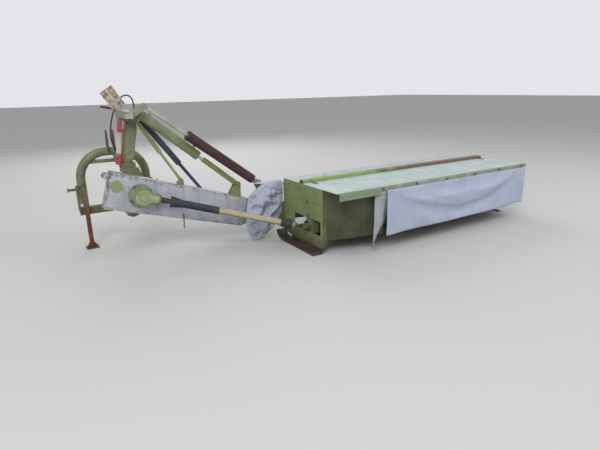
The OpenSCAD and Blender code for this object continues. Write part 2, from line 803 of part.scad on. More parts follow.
// Arm from the boom's end to the float bush, with the spring's lever
module float_carrier() {
  color("#8a8f86") translate(shift) {
    bush_r = float_pin_r + 24;
    end_x = lift_x + boom_right * cos(boom_tilt);
    end_z = lift_z - boom_right * sin(boom_tilt);
    half = boom_h_right / 2;
    difference() {
      union() {
        xz_plate(boom_back + carrier_t, carrier_t) polygon([
          [end_x - half * sin(boom_tilt), end_z - half * cos(boom_tilt)],
          [float_x, float_z - bush_r], [float_x, float_z + bush_r],
          [end_x + half * sin(boom_tilt) , end_z + half * cos(boom_tilt)]]);
        y_bar(float_x, boom_back + carrier_t, float_z, bush_r, boom_back + carrier_t - bush_rear);
        for (y = [spr[4] + spr[5] / 2 + side_play + 10, spr[4] - spr[5] / 2 - side_play])
          xz_plate(y, 10) lever_outline(bush_r);
        y_bar(spr[2], spr[4] + spr[5] / 2 + side_play + 20, spr[3], 20, 11);
        y_bar(spr[2], spr[4] - spr[5] / 2 - side_play - 9, spr[3], 20, 11);
      }
      y_bar(float_x, boom_back + carrier_t + over, float_z, float_pin_r + run_gap,
        boom_back + carrier_t - bush_rear + 2 * over);
    }
  }
}

// Lever's outline from the float bush up to the spring's eye
module lever_outline(r) {
  union() {
    translate([spr[2], spr[3]]) circle(38);
    polygon([[float_x - r, float_z], [float_x + r * 0.7, float_z + r * 0.7],
      [spr[2] + 36, spr[3] + 12], [spr[2] - 36, spr[3] - 12]]);
  }
}

// Guarded drive shaft from the gearbox to the mower
module drive_shaft() {
  color("#b58a4e") translate(shift) {
    between(shaft_a, shaft_b) {
      // stations along the shaft: start, end, start radius, end radius
      for (s = [[8, 60, 26, 26], [55, 175, 60, 42], [170, 560, 40, 40], [555, 1225, 34, 34],
          [1220, 1340, 42, 60], [1335, shaft_len - 60, 26, 26], [shaft_len - 61, shaft_len, 16, 16]])
        translate([0, 0, s[0]]) cylinder(r1 = s[2], r2 = s[3], h = s[1] - s[0]);
      translate([0, 0, 10]) sphere(30);
    }
    y_bar(shaft_b[0], shaft_b[1] + cross_half, shaft_b[2], 25, 2 * cross_half);
    on_boom() x_bar(gearbox_r + 78, shaft_a[1], 0, 30, 235 - gearbox_r - 78);
  }
}

// Cloth cover that hangs over the float pivot
module pivot_cover() {
  color("#dcdfe0") translate(shift) {
    xz_plate(cover_y, cover_t) polygon(cover_outline);
    translate([spr[2] + 70, cover_y - over, hood_top - 35]) rotate([0, 5, 0]) cube([185, 75, cover_t]);
  }
}

// Stations of the front panel's hinges
function hinge_x(i) = mower_x + hinge_in + i * (mower_len - 2 * hinge_in) / (hinge_count - 1);

// Fixed knuckles of the front panel's hinges, on the rail, with their pins
module fixed_knuckles() {
  for (i = [0 : hinge_count - 1]) {
    for (x = [hinge_x(i) - 2 * hinge_half - side_play, hinge_x(i) + hinge_half + side_play]) {
      x_bar(x, hinge_y, hinge_z, hinge_r, hinge_half);
      translate([x, hinge_y - hinge_r - 1 - over, hinge_z - hinge_r])
        cube([hinge_half, hinge_r + 1 + over, 2 * hinge_r]);
    }
    x_bar(hinge_x(i) - 2 * hinge_half - side_play + over, hinge_y, hinge_z, hinge_pin_r,
      4 * hinge_half + 2 * side_play - 2 * over);
  }
}

// Rail, front post, float pin and the plates that carry the rotor
module mower_frame() {
  color("#6f8738") translate(shift) {
    rail_z = hood_top + rail_rise - rail_side;
    pin_front = boom_back + carrier_t + 16;
    difference() {
      translate([mower_x + end_t, rail_y - rail_side / 2, rail_z])
        cube([mower_len - 2 * end_t, rail_side, rail_side]);
      translate([mower_x, rail_y - rail_side / 2 + 8, rail_z + 8])
        cube([mower_len, rail_side - 16, rail_side - 16]);
    }
    fixed_knuckles();
    // front post that joins the lug, the end plate and the rail
    translate([mower_x + end_t, hood_front - 60, 60]) cube([70, 60 + 25, 500]);
    translate([mower_x + end_t, rail_y, hood_top - sheet_t - 60]) cube([70, hood_front - 60 + over - rail_y, 55]);
    translate([mower_x + end_t, hood_front - 60, 559]) cube([70, 40, hood_top - sheet_t - 559 - 5]);
    xz_plate(lug_y, lug_t) polygon([
      [float_x - 45, float_z - 45], [mower_x + end_t + 70, 90], [mower_x + end_t + 70, 470],
      [float_x - 20, float_z + 62], [float_x - 62, float_z + 20]]);
    // upright on the post and bar over the pivot, which carry the cloth cover
    translate([mower_x + end_t + 5, lug_y - lug_t - over, 480]) cube([22, 12, cover_bar_z + 12 - 480]);
    translate([float_x - 120, lug_y - lug_t, cover_bar_z]) cube([mower_x + end_t + 10 - float_x + 120, 10, 12]);
    y_bar(float_x, pin_front, float_z, float_pin_r, pin_front - lug_y + over);
    y_bar(float_x, pin_front, float_z, float_pin_r + 12, 12);
    for (x = [rotor_x0 - 30, rotor_x1 + 18]) difference() {
      yz_plate(x, 12) polygon([[rail_y + 30, rail_z], [rail_y - 20, rotor_z - 20],
        [rotor_y + 40, rotor_z - 70], [rotor_y - 40, rotor_z - 70], [rotor_y - 90, hood_top - sheet_t],
        [rail_y - rail_side / 2, hood_top - sheet_t], [rail_y - rail_side / 2, rail_z]]);
      x_bar(x - over, rotor_y, rotor_z, 25 + run_gap, 12 + 2 * over);
    }
  }
}

// Inner end plate with the window for the drive
module inner_plate() {
  color("#8fa548") translate(shift) {
    side = hood_depth - 295;
    difference() {
      yz_plate(mower_x, end_t) polygon([[plate_front, hood_top - sheet_t], [plate_front, 150],
        [hood_front - 110, 60], [hood_front - side, 60], [hood_front - side, hood_top - sheet_t]]);
      translate([mower_x - over, hood_front - side + 40, float_z - 72])
        cube([end_t + 2 * over, side - 40 - 230, 157]);
    }
    translate([mower_x, hood_front - side - 6, 60]) cube([45, 6, hood_top - sheet_t - 60]);
  }
}

// Outer end plate
module outer_plate() {
  color("#8fa548") translate(shift)
    yz_plate(mower_end - end_t, end_t) polygon([[plate_front, hood_top - sheet_t], [plate_front, 320],
      [hood_front - 90, 60], [hood_front - 700, 60], [hood_rear + 30, 320], [hood_rear + 30, hood_top - sheet_t]]);
}

// Rear panel of the hood with its turned-down edge
module rear_hood() {
  color("#c3d3c2") translate(shift) {
    y0 = rail_y - rail_side / 2;
    translate([mower_x, hood_rear, hood_top - sheet_t]) cube([mower_len, y0 - hood_rear, sheet_t]);
    translate([mower_x, hood_rear, hood_top - 70]) cube([mower_len, sheet_t, 70 - over]);
    translate([mower_x, hood_rear - sheet_t, hood_top]) cube([mower_len, 40, 5]);
    translate([mower_x, hood_rear - sheet_t, hood_top - 30]) cube([mower_len, sheet_t + over, 32]);
    for (x = [mower_x + 90, mower_end - 120])
      translate([x, y0 - 120, hood_top - over]) cube([30, 90, 14]);
  }
}

// Input case, gear case over the first disc and the belt cover
module inner_drive() {
  color("#5d7034") translate(shift) {
    y1 = shaft_b[1];
    difference() {
      union() {
        translate([mower_x + end_t, y1 - 60, 175]) cube([90, 120, 330]);
        translate([mower_x + end_t, y1 - 60, 385]) cube([330, disc_y + 90 - y1 + 60, 130]);
        x_bar(mower_x + end_t + 330 - over, disc_y - 100, 450, 34, rotor_x0 - 105 - mower_x - end_t - 330 + 2 * over);
        x_bar(float_x + 34, y1, float_z, 26, mower_x + 20 - float_x - 34);
        for (y = [y1 + cross_half + side_play / 2 + 10, y1 - cross_half - side_play / 2])
          xz_plate(y, 10) union() {
            translate([float_x, float_z]) circle(20);
            translate([float_x, float_z - 20]) square([50, 40]);
          }
        translate([float_x + 36, y1 - cross_half - 10.5, float_z - 20]) cube([14, 2 * cross_half + 21, 40]);
        difference() {
          x_bar(mower_x - 22, y1, float_z, 58, 40);
          x_bar(mower_x - 23, y1, float_z, 54, 35);
        }
        translate([disc_first, disc_y, disc_top_z]) cylinder(r = 40, h = 386 - disc_top_z);
        yz_plate(rotor_x0 - 105, 70) hull() {
          translate([rotor_y, rotor_z]) circle(70, $fn = 32);
          translate([disc_y - 100, 450]) circle(60, $fn = 32);
        }
      }
    }
  }
}

// Cutterbar with its disc stations and skids
module cutterbar() {
  color("#3c3b38") translate(shift) {
    y0 = disc_y + bar_d / 2;
    y1 = disc_y - bar_d / 2;
    yz_plate(mower_x + end_t, mower_len - 2 * end_t) polygon([
      [y1, bar_bottom], [y0 - 60, bar_bottom], [y0, bar_top - 25], [y0 - 40, bar_top], [y1, bar_top]]);
    for (i = [0 : disc_count - 1]) {
      x = disc_first + i * disc_pitch;
      yz_plate(x - 110, 220) polygon([
        [y1 - 20, 0], [y0 - 90, 0], [y0 + 8, 55], [y0 + 8, 67], [y0 - 92, skid_t], [y1 - 8, skid_t],
        [y1 - 8, bar_bottom + 6], [y1 + 30, bar_bottom + 6], [y1 + 30, bar_bottom + 16], [y1 - 20, bar_bottom + 16]]);
      translate([x, disc_y, bar_top - over]) cylinder(r = 55, h = disc_gap - 2 + over);
      translate([x, disc_y, bar_top]) cylinder(r = hub_shaft_r, h = hub_shaft_h - run_gap);
      translate([x, disc_y, skid_t - over]) cylinder(r = 70, h = bar_bottom - skid_t + 2 * over);
    }
  }
}

// Runner of an end of the mower, turned up at the front
module shoe(x, t) {
  y1 = hood_front - 780;
  yz_plate(x, t) polygon([[y1, 0], [hood_front - 150, 0], [hood_front - 40, 30], [hood_front + 5, 95],
    [hood_front - 5, 101], [hood_front - 48, 42], [hood_front - 155, 14], [y1, 14]]);
}

module inner_shoe() {
  color("#4a4540") translate(shift) {
    shoe(mower_x - 115, 125);
    yz_plate(mower_x, end_t) polygon([[hood_front - 780, 10], [hood_front - 160, 10],
      [hood_front - 160, 60], [hood_front - 780, 60]]);
    translate([mower_x - 40, hood_front - 700, 13]) cube([41, 12, 47]);
    translate([mower_x - 40, hood_front - 250, 13]) cube([41, 12, 47]);
  }
}

module outer_shoe() {
  color("#4a4540") translate(shift) {
    shoe(mower_end - end_t, end_t + shoe_out);
    yz_plate(mower_end - end_t, end_t) polygon([[hood_front - 700, 10], [hood_front - 160, 10],
      [hood_front - 160, 60], [hood_front - 700, 60]]);
  }
}

// Two upright boards that narrow the swath behind the rotor
module swath_boards() {
  color("#4c5f2f") translate(shift) for (s = [0, 1]) {
    a = s == 0 ? [mower_x + 46.5, hood_front - hood_depth + 292] : [mower_end - end_t - 1.5, hood_front - 790];
    b = s == 0 ? [mower_x + rear_gap + 10, hood_rear + 45] : [mower_end - rear_gap, hood_rear + 45];
    d = b - a;
    translate([a[0], a[1], 0]) rotate(atan2(d[1], d[0])) xz_plate(3, 6) polygon([
      [0, 140], [norm(d), 190], [norm(d), hood_top - sheet_t], [0, hood_top - sheet_t]]);
  }
}

// Rear curtain that wraps the outer corner, with the loose flap at its inner end
module rear_curtain() {
  color("#dcdfe0") translate(shift) {
    x0 = mower_x + rear_gap;
    y0 = hood_rear - sheet_t - seat;
    xz_plate(y0, curtain_t) polygon([[x0, hem_z], [x0, hood_top], [mower_end + seat, hood_top],
      [mower_end + seat, hem_z]]);
    xz_plate(y0, curtain_t) polygon([[x0 - flap_w * 0.5, 45], [x0 - flap_w, 190], [x0 - flap_w * 0.55, hood_top],
      [x0 + over, hood_top], [x0 + over, hem_z]]);
    yz_plate(mower_end + seat, curtain_t) polygon([[y0 - curtain_t, hem_z - 30], [hood_front - 620, hem_z],
      [hood_front - 620, hood_top], [y0 - curtain_t, hood_top]]);
  }
}

// Front panel of the hood, which lifts for access to the discs
module front_guard() {
  color("#c3d3c2") translate(shift) {
    y1 = rail_y + rail_side / 2 + 8;
    translate([mower_x, y1, hood_top - sheet_t + seat]) cube([mower_len, hood_front - y1, sheet_t]);
    translate([mower_x, hood_front - sheet_t, hood_top - 62]) cube([mower_len, sheet_t, 62 + over]);
    for (i = [0 : hinge_count - 1]) difference() {
      union() {
        x_bar(hinge_x(i) - hinge_half, hinge_y, hinge_z, hinge_r, 2 * hinge_half);
        translate([hinge_x(i) - hinge_half, hinge_y, hood_top + seat - over])
          cube([2 * hinge_half, 40, 8 + over]);
      }
      x_bar(hinge_x(i) - hinge_half - over, hinge_y, hinge_z, hinge_pin_r + run_gap,
        2 * hinge_half + 2 * over);
    }
  }
}

// Curtain that hangs from the front panel
module front_curtain() {
  color("#c9cdd0") translate(shift)
    xz_plate(hood_front - sheet_t - seat, curtain_t) polygon([
      [mower_x + 110, hem_z + 20], [mower_end - 30, hem_z + 20],
      [mower_end - 30, hood_top - sheet_t], [mower_x + 110, hood_top - sheet_t]]);
}

// Oval mowing disc with two knives; the two end discs carry a crop drum
module disc(i) {
  x = disc_first + i * disc_pitch;
  turn = i % 2 == 0 ? 0 : 90;
  translate(shift) translate([x, disc_y, bar_top + disc_gap]) rotate(turn) {
    difference() {
      union() {
        linear_extrude(8) intersection() {
          circle(disc_long);
          square([2 * disc_long, 2 * disc_wide], center = true);
        }
        translate([0, 0, 7]) cylinder(r1 = 100, r2 = 55, h = 26);
      }
      translate([0, 0, -over]) cylinder(r = hub_shaft_r + run_gap, h = hub_shaft_h - disc_gap + over);
    }
    for (s = [0, 180]) rotate(s)
      translate([disc_long - 45, -knife_w / 2, 8 - over]) cube([knife_r - disc_long + 45 - 3, knife_w, knife_t + over]);
    for (s = [0, 180]) rotate(s) translate([disc_long - 25, 0, 7]) cylinder(r = 16, h = 16);
    if (i == 0 || i == disc_count - 1)
      translate([0, 0, 30]) difference() {
        cylinder(r1 = drum_r, r2 = drum_r - 45, h = drum_h);
        translate([0, 0, 10]) cylinder(r1 = drum_r - 10, r2 = drum_r - 53, h = drum_h);
      }
  }
}

module disc_1() color("#7d5a45") disc(0);
module disc_2() color("#7d5a45") disc(1);
module disc_3() color("#7d5a45") disc(2);
module disc_4() color("#7d5a45") disc(3);
module disc_5() color("#7d5a45") disc(4);
module disc_6() color("#7d5a45") disc(5);
module disc_7() color("#7d5a45") disc(6);

// Rotor with rows of V tines
module conditioner_rotor() {
  color("#8a5f43") translate(shift) {
    x_bar(rotor_x0, rotor_y, rotor_z, rotor_r, rotor_x1 - rotor_x0);
    x_bar(rotor_x0 - 32, rotor_y, rotor_z, 25, rotor_x1 - rotor_x0 + 64);
    count = floor((rotor_x1 - rotor_x0 - 2 * tine_w) / tine_pitch);
    for (row = [0 : tine_rows - 1]) translate([0, rotor_y, rotor_z]) rotate([row * 360 / tine_rows, 0, 0])
      for (i = [0 : count - 1])
        translate([rotor_x0 + tine_w + 10 + (i + (row % 2) / 2) * tine_pitch, 0, 0])
          rotate([90, 0, 0]) translate([0, 0, -tine_t / 2]) linear_extrude(tine_t) polygon([
            [-tine_w / 2, rotor_r - 8], [tine_w / 2, rotor_r - 8], [tine_w / 2 + 6, tine_r],
            [tine_w / 2 - 8, tine_r], [0, rotor_r + 50], [-tine_w / 2 + 8, tine_r], [-tine_w / 2 - 6, tine_r]]);
  }
}

arch();
link_plates();
bearing_bracket();
top_link_plates();
leg_sleeve();
parking_leg();
swing_frame();
column();
head();
striped_board();
top_boards();
cylinder_barrel();
cylinder_rod();
spring_bar();
relief_spring();
tie_sleeve();
tie_rod();
strut_tube();
strut_rod();
boom_beam();
gearbox();
rod_bracket();
float_carrier();
drive_shaft();
pivot_cover();
mower_frame();
inner_plate();
outer_plate();
rear_hood();
inner_drive();
cutterbar();
inner_shoe();
outer_shoe();
swath_boards();
rear_curtain();
front_guard();
front_curtain();
disc_1();
disc_2();
disc_3();
disc_4();
disc_5();
disc_6();
disc_7();
conditioner_rotor();
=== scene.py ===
"""Looks of a side-hung rear disc mower conditioner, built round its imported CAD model.

Stations are those of the part's source, in millimetres: x from the middle of the arch to the
right, y from the lower link pins forwards, z from the ground. at() turns them into metres in
the model's frame.
"""
import math

import bmesh
import bpy
from mathutils import Matrix, Vector, noise


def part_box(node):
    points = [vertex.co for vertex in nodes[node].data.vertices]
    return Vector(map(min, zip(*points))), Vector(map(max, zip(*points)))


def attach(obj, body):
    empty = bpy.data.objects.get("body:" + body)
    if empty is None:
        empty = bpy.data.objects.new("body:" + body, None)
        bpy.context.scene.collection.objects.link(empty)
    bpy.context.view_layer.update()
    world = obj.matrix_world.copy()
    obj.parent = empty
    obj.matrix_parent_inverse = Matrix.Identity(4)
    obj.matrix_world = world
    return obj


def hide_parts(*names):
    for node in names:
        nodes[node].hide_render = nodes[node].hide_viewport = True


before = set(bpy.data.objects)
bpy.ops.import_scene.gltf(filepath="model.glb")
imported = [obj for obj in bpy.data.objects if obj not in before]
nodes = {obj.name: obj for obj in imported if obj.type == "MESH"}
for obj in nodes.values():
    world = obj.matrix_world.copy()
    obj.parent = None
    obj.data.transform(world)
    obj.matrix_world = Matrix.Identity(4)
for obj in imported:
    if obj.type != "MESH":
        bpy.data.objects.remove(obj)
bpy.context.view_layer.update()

# ---------------------------------------------------------------- places
ARCH_PLANE = -60
arch_low, arch_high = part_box("arch")
ORIGIN = Vector(((arch_low[0] + arch_high[0]) / 2, (arch_low[1] + arch_high[1]) / 2 - ARCH_PLANE / 1000, 0))


def at(x, y, z):
    """A station in millimetres as a point of the model's frame, in metres."""
    return ORIGIN + Vector((x, y, z)) / 1000


def placed(name, data):
    """An object of some data, put in the scene."""
    made = bpy.data.objects.new(name, data)
    bpy.context.scene.collection.objects.link(made)
    return made


# Lift cylinder and relief spring, from the pin on the head to the lower pin
CYLINDER = (at(170, -750, 1500), at(1200, -750, 640))
SPRING = (at(215, -884, 1550), at(1400, -884, 655))
# Drive shaft, from its joint at the gearbox to its joint at the mower
DRIVE = (at(324.7, -902, 596.3), at(1580, -1560, 260))
# Boom, from the lift axis down along its middle; boom_side points out of its underside
LIFT_X, LIFT_Z, BOOM_Y, BOOM_TILT = 100, 665, -810, math.radians(17)
BOOM = (at(LIFT_X, BOOM_Y, LIFT_Z),
        at(LIFT_X + 1000 * math.cos(BOOM_TILT), BOOM_Y, LIFT_Z - 1000 * math.sin(BOOM_TILT)))
boom_way = (BOOM[1] - BOOM[0]).normalized()
boom_side = boom_way.cross(Vector((0, 1, 0)))
HOOD_TOP, HOOD_FRONT, HOOD_REAR = 700, -1040, -2125
MOWER_LEFT, MOWER_RIGHT = 1660, 4620

# ---------------------------------------------------------------- camera
EYE = at(-930, -5594, 1700)
LOOK, DOWN, ROLL = math.radians(58.4), math.radians(16.7), math.radians(1.1)
forward = Vector((math.cos(LOOK) * math.cos(DOWN), math.sin(LOOK) * math.cos(DOWN), -math.sin(DOWN)))
across = forward.cross(Vector((0, 0, 1))).normalized()
upward = across.cross(forward)
right = across * math.cos(ROLL) - upward * math.sin(ROLL)
up = upward * math.cos(ROLL) + across * math.sin(ROLL)
lens = bpy.data.cameras.new("camera")
# focal length and sensor in millimetres, sight in metres
lens.lens, lens.sensor_width, lens.clip_end = 27.6, 36, 200
camera = placed("camera", lens)
camera.matrix_world = Matrix.Translation(EYE) @ Matrix((right, up, -forward)).transposed().to_4x4()
bpy.context.scene.camera = camera
bpy.context.scene.view_settings.view_transform = "Standard"


# ---------------------------------------------------------------- materials
def linear(hex_colour):
    """An sRGB hex colour as linear red, green, blue and alpha."""
    parts = [int(hex_colour[i:i + 2], 16) / 255 for i in (1, 3, 5)]
    return [c / 12.92 if c <= 0.04045 else ((c + 0.055) / 1.055) ** 2.4 for c in parts] + [1.0]


def add(tree, kind, settings=None, inputs=None):
    """Adds a shader node, sets its settings and sets or links its inputs."""
    made = tree.nodes.new("ShaderNode" + kind)
    for name, value in (settings or {}).items():
        setattr(made, name, value)
    for name, value in (inputs or {}).items():
        if isinstance(value, bpy.types.NodeSocket):
            tree.links.new(value, made.inputs[name])
        else:
            made.inputs[name].default_value = value
    return made.outputs


def blank(name, roughness, metallic=0.0, ior=1.5):
    """An empty material: its tree, its surface shader and its Object coordinates."""
    made = bpy.data.materials.new(name)
    made.use_nodes = True
    tree = made.node_tree
    shader = tree.nodes["Principled BSDF"]
    shader.inputs["Roughness"].default_value = roughness
    shader.inputs["Metallic"].default_value = metallic
    shader.inputs["IOR"].default_value = ior
    return made, tree, shader, add(tree, "TexCoord")["Object"]


def mask(tree, place, scale, low, high, detail=5.0, stretch=(1, 1, 1)):
    """Patches of a noise between two levels, from 0 to 1. scale is in waves for each metre."""
    turned = add(tree, "Mapping", {}, {"Vector": place, "Scale": stretch})["Vector"]
    cloud = add(tree, "TexNoise", {}, {"Vector": turned, "Scale": scale, "Detail": detail, "Roughness": 0.62})
    return band(tree, cloud["Fac"], low, high)


def band(tree, value, low, high):
    """0 below low, 1 above high; the other way round where high is the lower."""
    return add(tree, "MapRange", {"interpolation_type": "SMOOTHSTEP"},
               {"Value": value, "From Min": low, "From Max": high})["Result"]


def mix(tree, share, first, second):
    """A colour between two, each a hex value or a socket."""
    pair = [linear(c) if isinstance(c, str) else c for c in (first, second)]
    return add(tree, "Mix", {"data_type": "RGBA"}, {0: share, 6: pair[0], 7: pair[1]})[2]


def combine(tree, operation, a, b, clamp=False):
    """Two values combined by a Math node; clamp keeps the result from 0 to 1."""
    return add(tree, "Math", {"operation": operation, "use_clamp": clamp}, {0: a, 1: b})[0]


def times(tree, a, b):
    return combine(tree, "MULTIPLY", a, b)


def plus(tree, a, b, clamp=False):
    return combine(tree, "ADD", a, b, clamp)


def minus(tree, a, b):
    return combine(tree, "SUBTRACT", a, b)


def rescaled(tree, value, low, high):
    """A value from 0 to 1 moved to the range from low to high."""
    return add(tree, "MapRange", {}, {"Value": value, "To Min": low, "To Max": high})["Result"]


def between(tree, value, low, high, soft=0.004):
    """1 from low to high, 0 outside."""
    return times(tree, band(tree, value, low - soft, low + soft), band(tree, value, high + soft, high - soft))


def along(tree, place, start, end):
    """How far a point lies from start towards end, in metres."""
    off = add(tree, "VectorMath", {"operation": "SUBTRACT"}, {0: place, 1: start})["Vector"]
    return add(tree, "VectorMath", {"operation": "DOT_PRODUCT"}, {0: off, 1: (end - start).normalized()})["Value"]


def axes(tree, place):
    return add(tree, "SeparateXYZ", {}, {"Vector": place})


def beyond(tree, place, first, second):
    """0 up to the first station y and 1 past the second, both in millimetres."""
    return band(tree, axes(tree, place)["Y"], at(0, first, 0).y, at(0, second, 0).y)


def distance(tree, place, spot):
    return add(tree, "VectorMath", {"operation": "DISTANCE"}, {0: place, 1: spot})["Value"]


def ragged(tree, place, value, scale, low, high, reach):
    """A distance made uneven by a noise, by up to reach metres, so that an edge drawn at it is ragged."""
    return plus(tree, value, times(tree, mask(tree, place, scale, low, high), reach))


def grain(tree, place, scale, detail=2.0):
    """A fine even noise; scale is in waves for each metre."""
    return add(tree, "TexNoise", {}, {"Vector": place, "Scale": scale, "Detail": detail})["Fac"]


def roughen(tree, shader, height, strength, depth):
    """Links a height to the surface as bumps of a depth in metres."""
    bump = add(tree, "Bump", {}, {"Strength": strength, "Distance": depth, "Height": height})["Normal"]
    tree.links.new(bump, shader.inputs["Normal"])


# Tones that several finishes share: dried grime, and a brighter green: on the front guard's face the green the sun
# hasn't reached, on the rail's top painted light
GRIME, UNFADED_AND_LIT_GREEN = "#5c5641", "#8ea05a"


def enamel(name, paint, faded, chips=0.66, grime=0.35, mud_top=0.35, roughness=0.5, zones=None, flake=(1, 1, 1)):
    """Machine enamel: sun-faded in patches, run with grime, chipped down to rust, muddy low down."""
    made, tree, shader, place = blank(name, roughness)
    colour = mix(tree, mask(tree, place, 4.5, 0.35, 0.68), paint, faded)
    if zones:
        colour = zones(tree, place, colour)
    # rain draws the dirt down in streaks about 25 mm apart
    streaks = mask(tree, place, 14, 0.48, 0.75, stretch=(1, 1, 0.12))
    colour = mix(tree, times(tree, streaks, grime), colour, GRIME)
    film = mask(tree, place, 2.2, 0.3, 0.8)
    colour = mix(tree, times(tree, film, grime * 0.7), colour, "#77705c")
    # chips of 5 to 30 mm, the largest in clusters
    cluster = mask(tree, place, 5, 0.42, 0.7)
    flakes = mask(tree, place, 55, chips, chips + 0.03, detail=3.0, stretch=flake)
    chip = times(tree, flakes, plus(tree, cluster, 0.25, clamp=True))
    colour = mix(tree, chip, colour, "#5a3a2a")
    low = band(tree, axes(tree, place)["Z"], mud_top, 0.02)
    mud = times(tree, low, mask(tree, place, 11, 0.3, 0.6))
    colour = mix(tree, mud, colour, "#4a4133")
    tree.links.new(colour, shader.inputs["Base Color"])
    tree.links.new(rescaled(tree, chip, roughness, 0.92), shader.inputs["Roughness"])
    # brush marks stand up a little, and a chip lies the paint's thickness deeper
    relief = minus(tree, times(tree, grain(tree, place, 260.0), 0.25), chip)
    roughen(tree, shader, relief, 0.35, 0.0015)
    return made


def rusted(name, dark, bright, scale=30.0, roughness=0.85, zones=None):
    """Bare steel under an even coat of rust, mottled from dark brown to orange, with fine grain."""
    made, tree, shader, place = blank(name, roughness)
    colour = mix(tree, mask(tree, place, scale, 0.35, 0.7), dark, bright)
    colour = mix(tree, times(tree, mask(tree, place, 5, 0.4, 0.75), 0.5), colour, "#2b2320")
    if zones:
        colour = zones(tree, place, colour)
    tree.links.new(colour, shader.inputs["Base Color"])
    roughen(tree, shader, grain(tree, place, 420.0, 4.0), 0.5, 0.002)
    return made


def moulded(name, main, dust, roughness=0.6, zones=None):
    """Moulded plastic or rubber with a grain of about 1 mm, dust settled on it in patches."""
    made, tree, shader, place = blank(name, roughness, ior=1.46)
    colour = mix(tree, mask(tree, place, 16, 0.45, 0.8), main, dust)
    if zones:
        colour = zones(tree, place, colour)
    colour = mix(tree, times(tree, mask(tree, place, 7, 0.5, 0.75), 0.35), colour, "#6b604c")
    tree.links.new(colour, shader.inputs["Base Color"])
    roughen(tree, shader, grain(tree, place, 700.0), 0.2, 0.0006)
    return made


def tarpaulin(name, pale, shade, size, grime=0.5):
    """PVC-coated polyester cloth on the piece's own UV map: weave, creases, a sewn hem and splashes.

    size is the cloth's width and drop in metres. The weave is 1 mm in the real cloth and is drawn
    at 6 mm, so that it shows. The hem's seam runs 25 mm above the edge.
    """
    made, tree, shader, place = blank(name, 0.55)
    flat = add(tree, "TexCoord")["UV"]
    flat = add(tree, "Mapping", {}, {"Vector": flat, "Scale": (size[0], size[1], 1)})["Vector"]
    colour = mix(tree, mask(tree, flat, 3.0, 0.35, 0.75), pale, shade)
    # creases where it was folded and crushed
    turned = add(tree, "Mapping", {}, {"Vector": flat, "Rotation": (0, 0, 0.5), "Scale": (1, 0.7, 1)})["Vector"]
    cells = add(tree, "TexVoronoi", {"feature": "DISTANCE_TO_EDGE"}, {"Vector": turned, "Scale": 6.0})
    crease = band(tree, cells["Distance"], 0.03, 0.0)
    colour = mix(tree, times(tree, crease, 0.22), colour, "#97a1b0")
    up_cloth = axes(tree, flat)["Y"]
    seam = between(tree, up_cloth, 0.0235, 0.0265, 0.0008)
    colour = mix(tree, times(tree, seam, 0.5), colour, "#8c94a0")
    splash = times(tree, band(tree, up_cloth, 0.3, 0.0), mask(tree, flat, 9, 0.42, 0.7))
    colour = mix(tree, times(tree, splash, grime), colour, "#8f8672")
    colour = mix(tree, times(tree, mask(tree, flat, 24, 0.62, 0.72), 0.4), colour, "#8d8d88")
    tree.links.new(colour, shader.inputs["Base Color"])
    warp = add(tree, "TexWave", {"bands_direction": "X"}, {"Vector": flat, "Scale": 52.0})["Fac"]
    weft = add(tree, "TexWave", {"bands_direction": "Y"}, {"Vector": flat, "Scale": 52.0})["Fac"]
    relief = minus(tree, times(tree, times(tree, warp, weft), 0.3), crease)
    roughen(tree, shader, relief, 0.3, 0.0015)
    return made


def boom_zones(tree, place, colour):
    """Green primer showing at the boom's left end, a bare cream plate low on its side, rusty edges."""
    primer = ragged(tree, place, distance(tree, place, at(-118, -811, 780)), 22, 0.2, 0.8, 0.035)
    colour = mix(tree, band(tree, primer, 0.085, 0.07), colour, "#84945f")
    ahead = along(tree, place, *BOOM)
    beside = along(tree, place, BOOM[0], BOOM[0] + boom_side)
    plate = times(tree, between(tree, ahead, 0.975, 1.1, 0.001), between(tree, beside, 0.118, 0.152, 0.001))
    rear = beyond(tree, place, BOOM_Y + 10, BOOM_Y + 4)
    colour = mix(tree, times(tree, plate, rear), colour, "#cfc39a")
    # rust along the lower flange, along the top and at the left end
    rim = ragged(tree, place, beside, 12, 0.3, 0.7, 0.05)
    rim = times(tree, band(tree, rim, 0.165, 0.2), mask(tree, place, 30, 0.42, 0.55))
    end = times(tree, band(tree, ahead, -0.29, -0.32), mask(tree, place, 18, 0.4, 0.6))
    top = times(tree, band(tree, beside, -0.155, -0.175), mask(tree, place, 40, 0.5, 0.6))
    colour = mix(tree, times(tree, rim, 0.7), colour, "#6b4a35")
    colour = mix(tree, times(tree, top, 0.6), colour, "#7a5a43")
    return mix(tree, times(tree, end, 0.85), colour, "#5b3d2b")


def rail_zones(tree, place, colour):
    """The rail above the hood goes from green at its left end to brown rust at its right end."""
    spots = axes(tree, place)
    worn = ragged(tree, place, spots["X"], 5, 0.3, 0.7, 0.7)
    rust = times(tree, band(tree, worn, at(2750, 0, 0).x, at(3400, 0, 0).x), band(tree, spots["Z"], 0.68, 0.7))
    # painted light: the rail's top face, above 0.71 m, takes the brighter green over sides in the painted-shade copy
    colour = mix(tree, band(tree, spots["Z"], 0.69, 0.71), colour, UNFADED_AND_LIT_GREEN)
    return mix(tree, rust, colour, "#6f5848")


def rear_panel_zones(tree, place, colour):
    """Chalked green in patches on the bolted edge strip, and dark steel latch bars."""
    chalked = mix(tree, mask(tree, place, 7, 0.45, 0.7), "#7d8b6f", "#98a392")
    colour = mix(tree, beyond(tree, place, HOOD_REAR + 38, HOOD_REAR + 35), colour, chalked)
    return mix(tree, band(tree, axes(tree, place)["Z"], 0.706, 0.708), colour, "#3a3d3c")


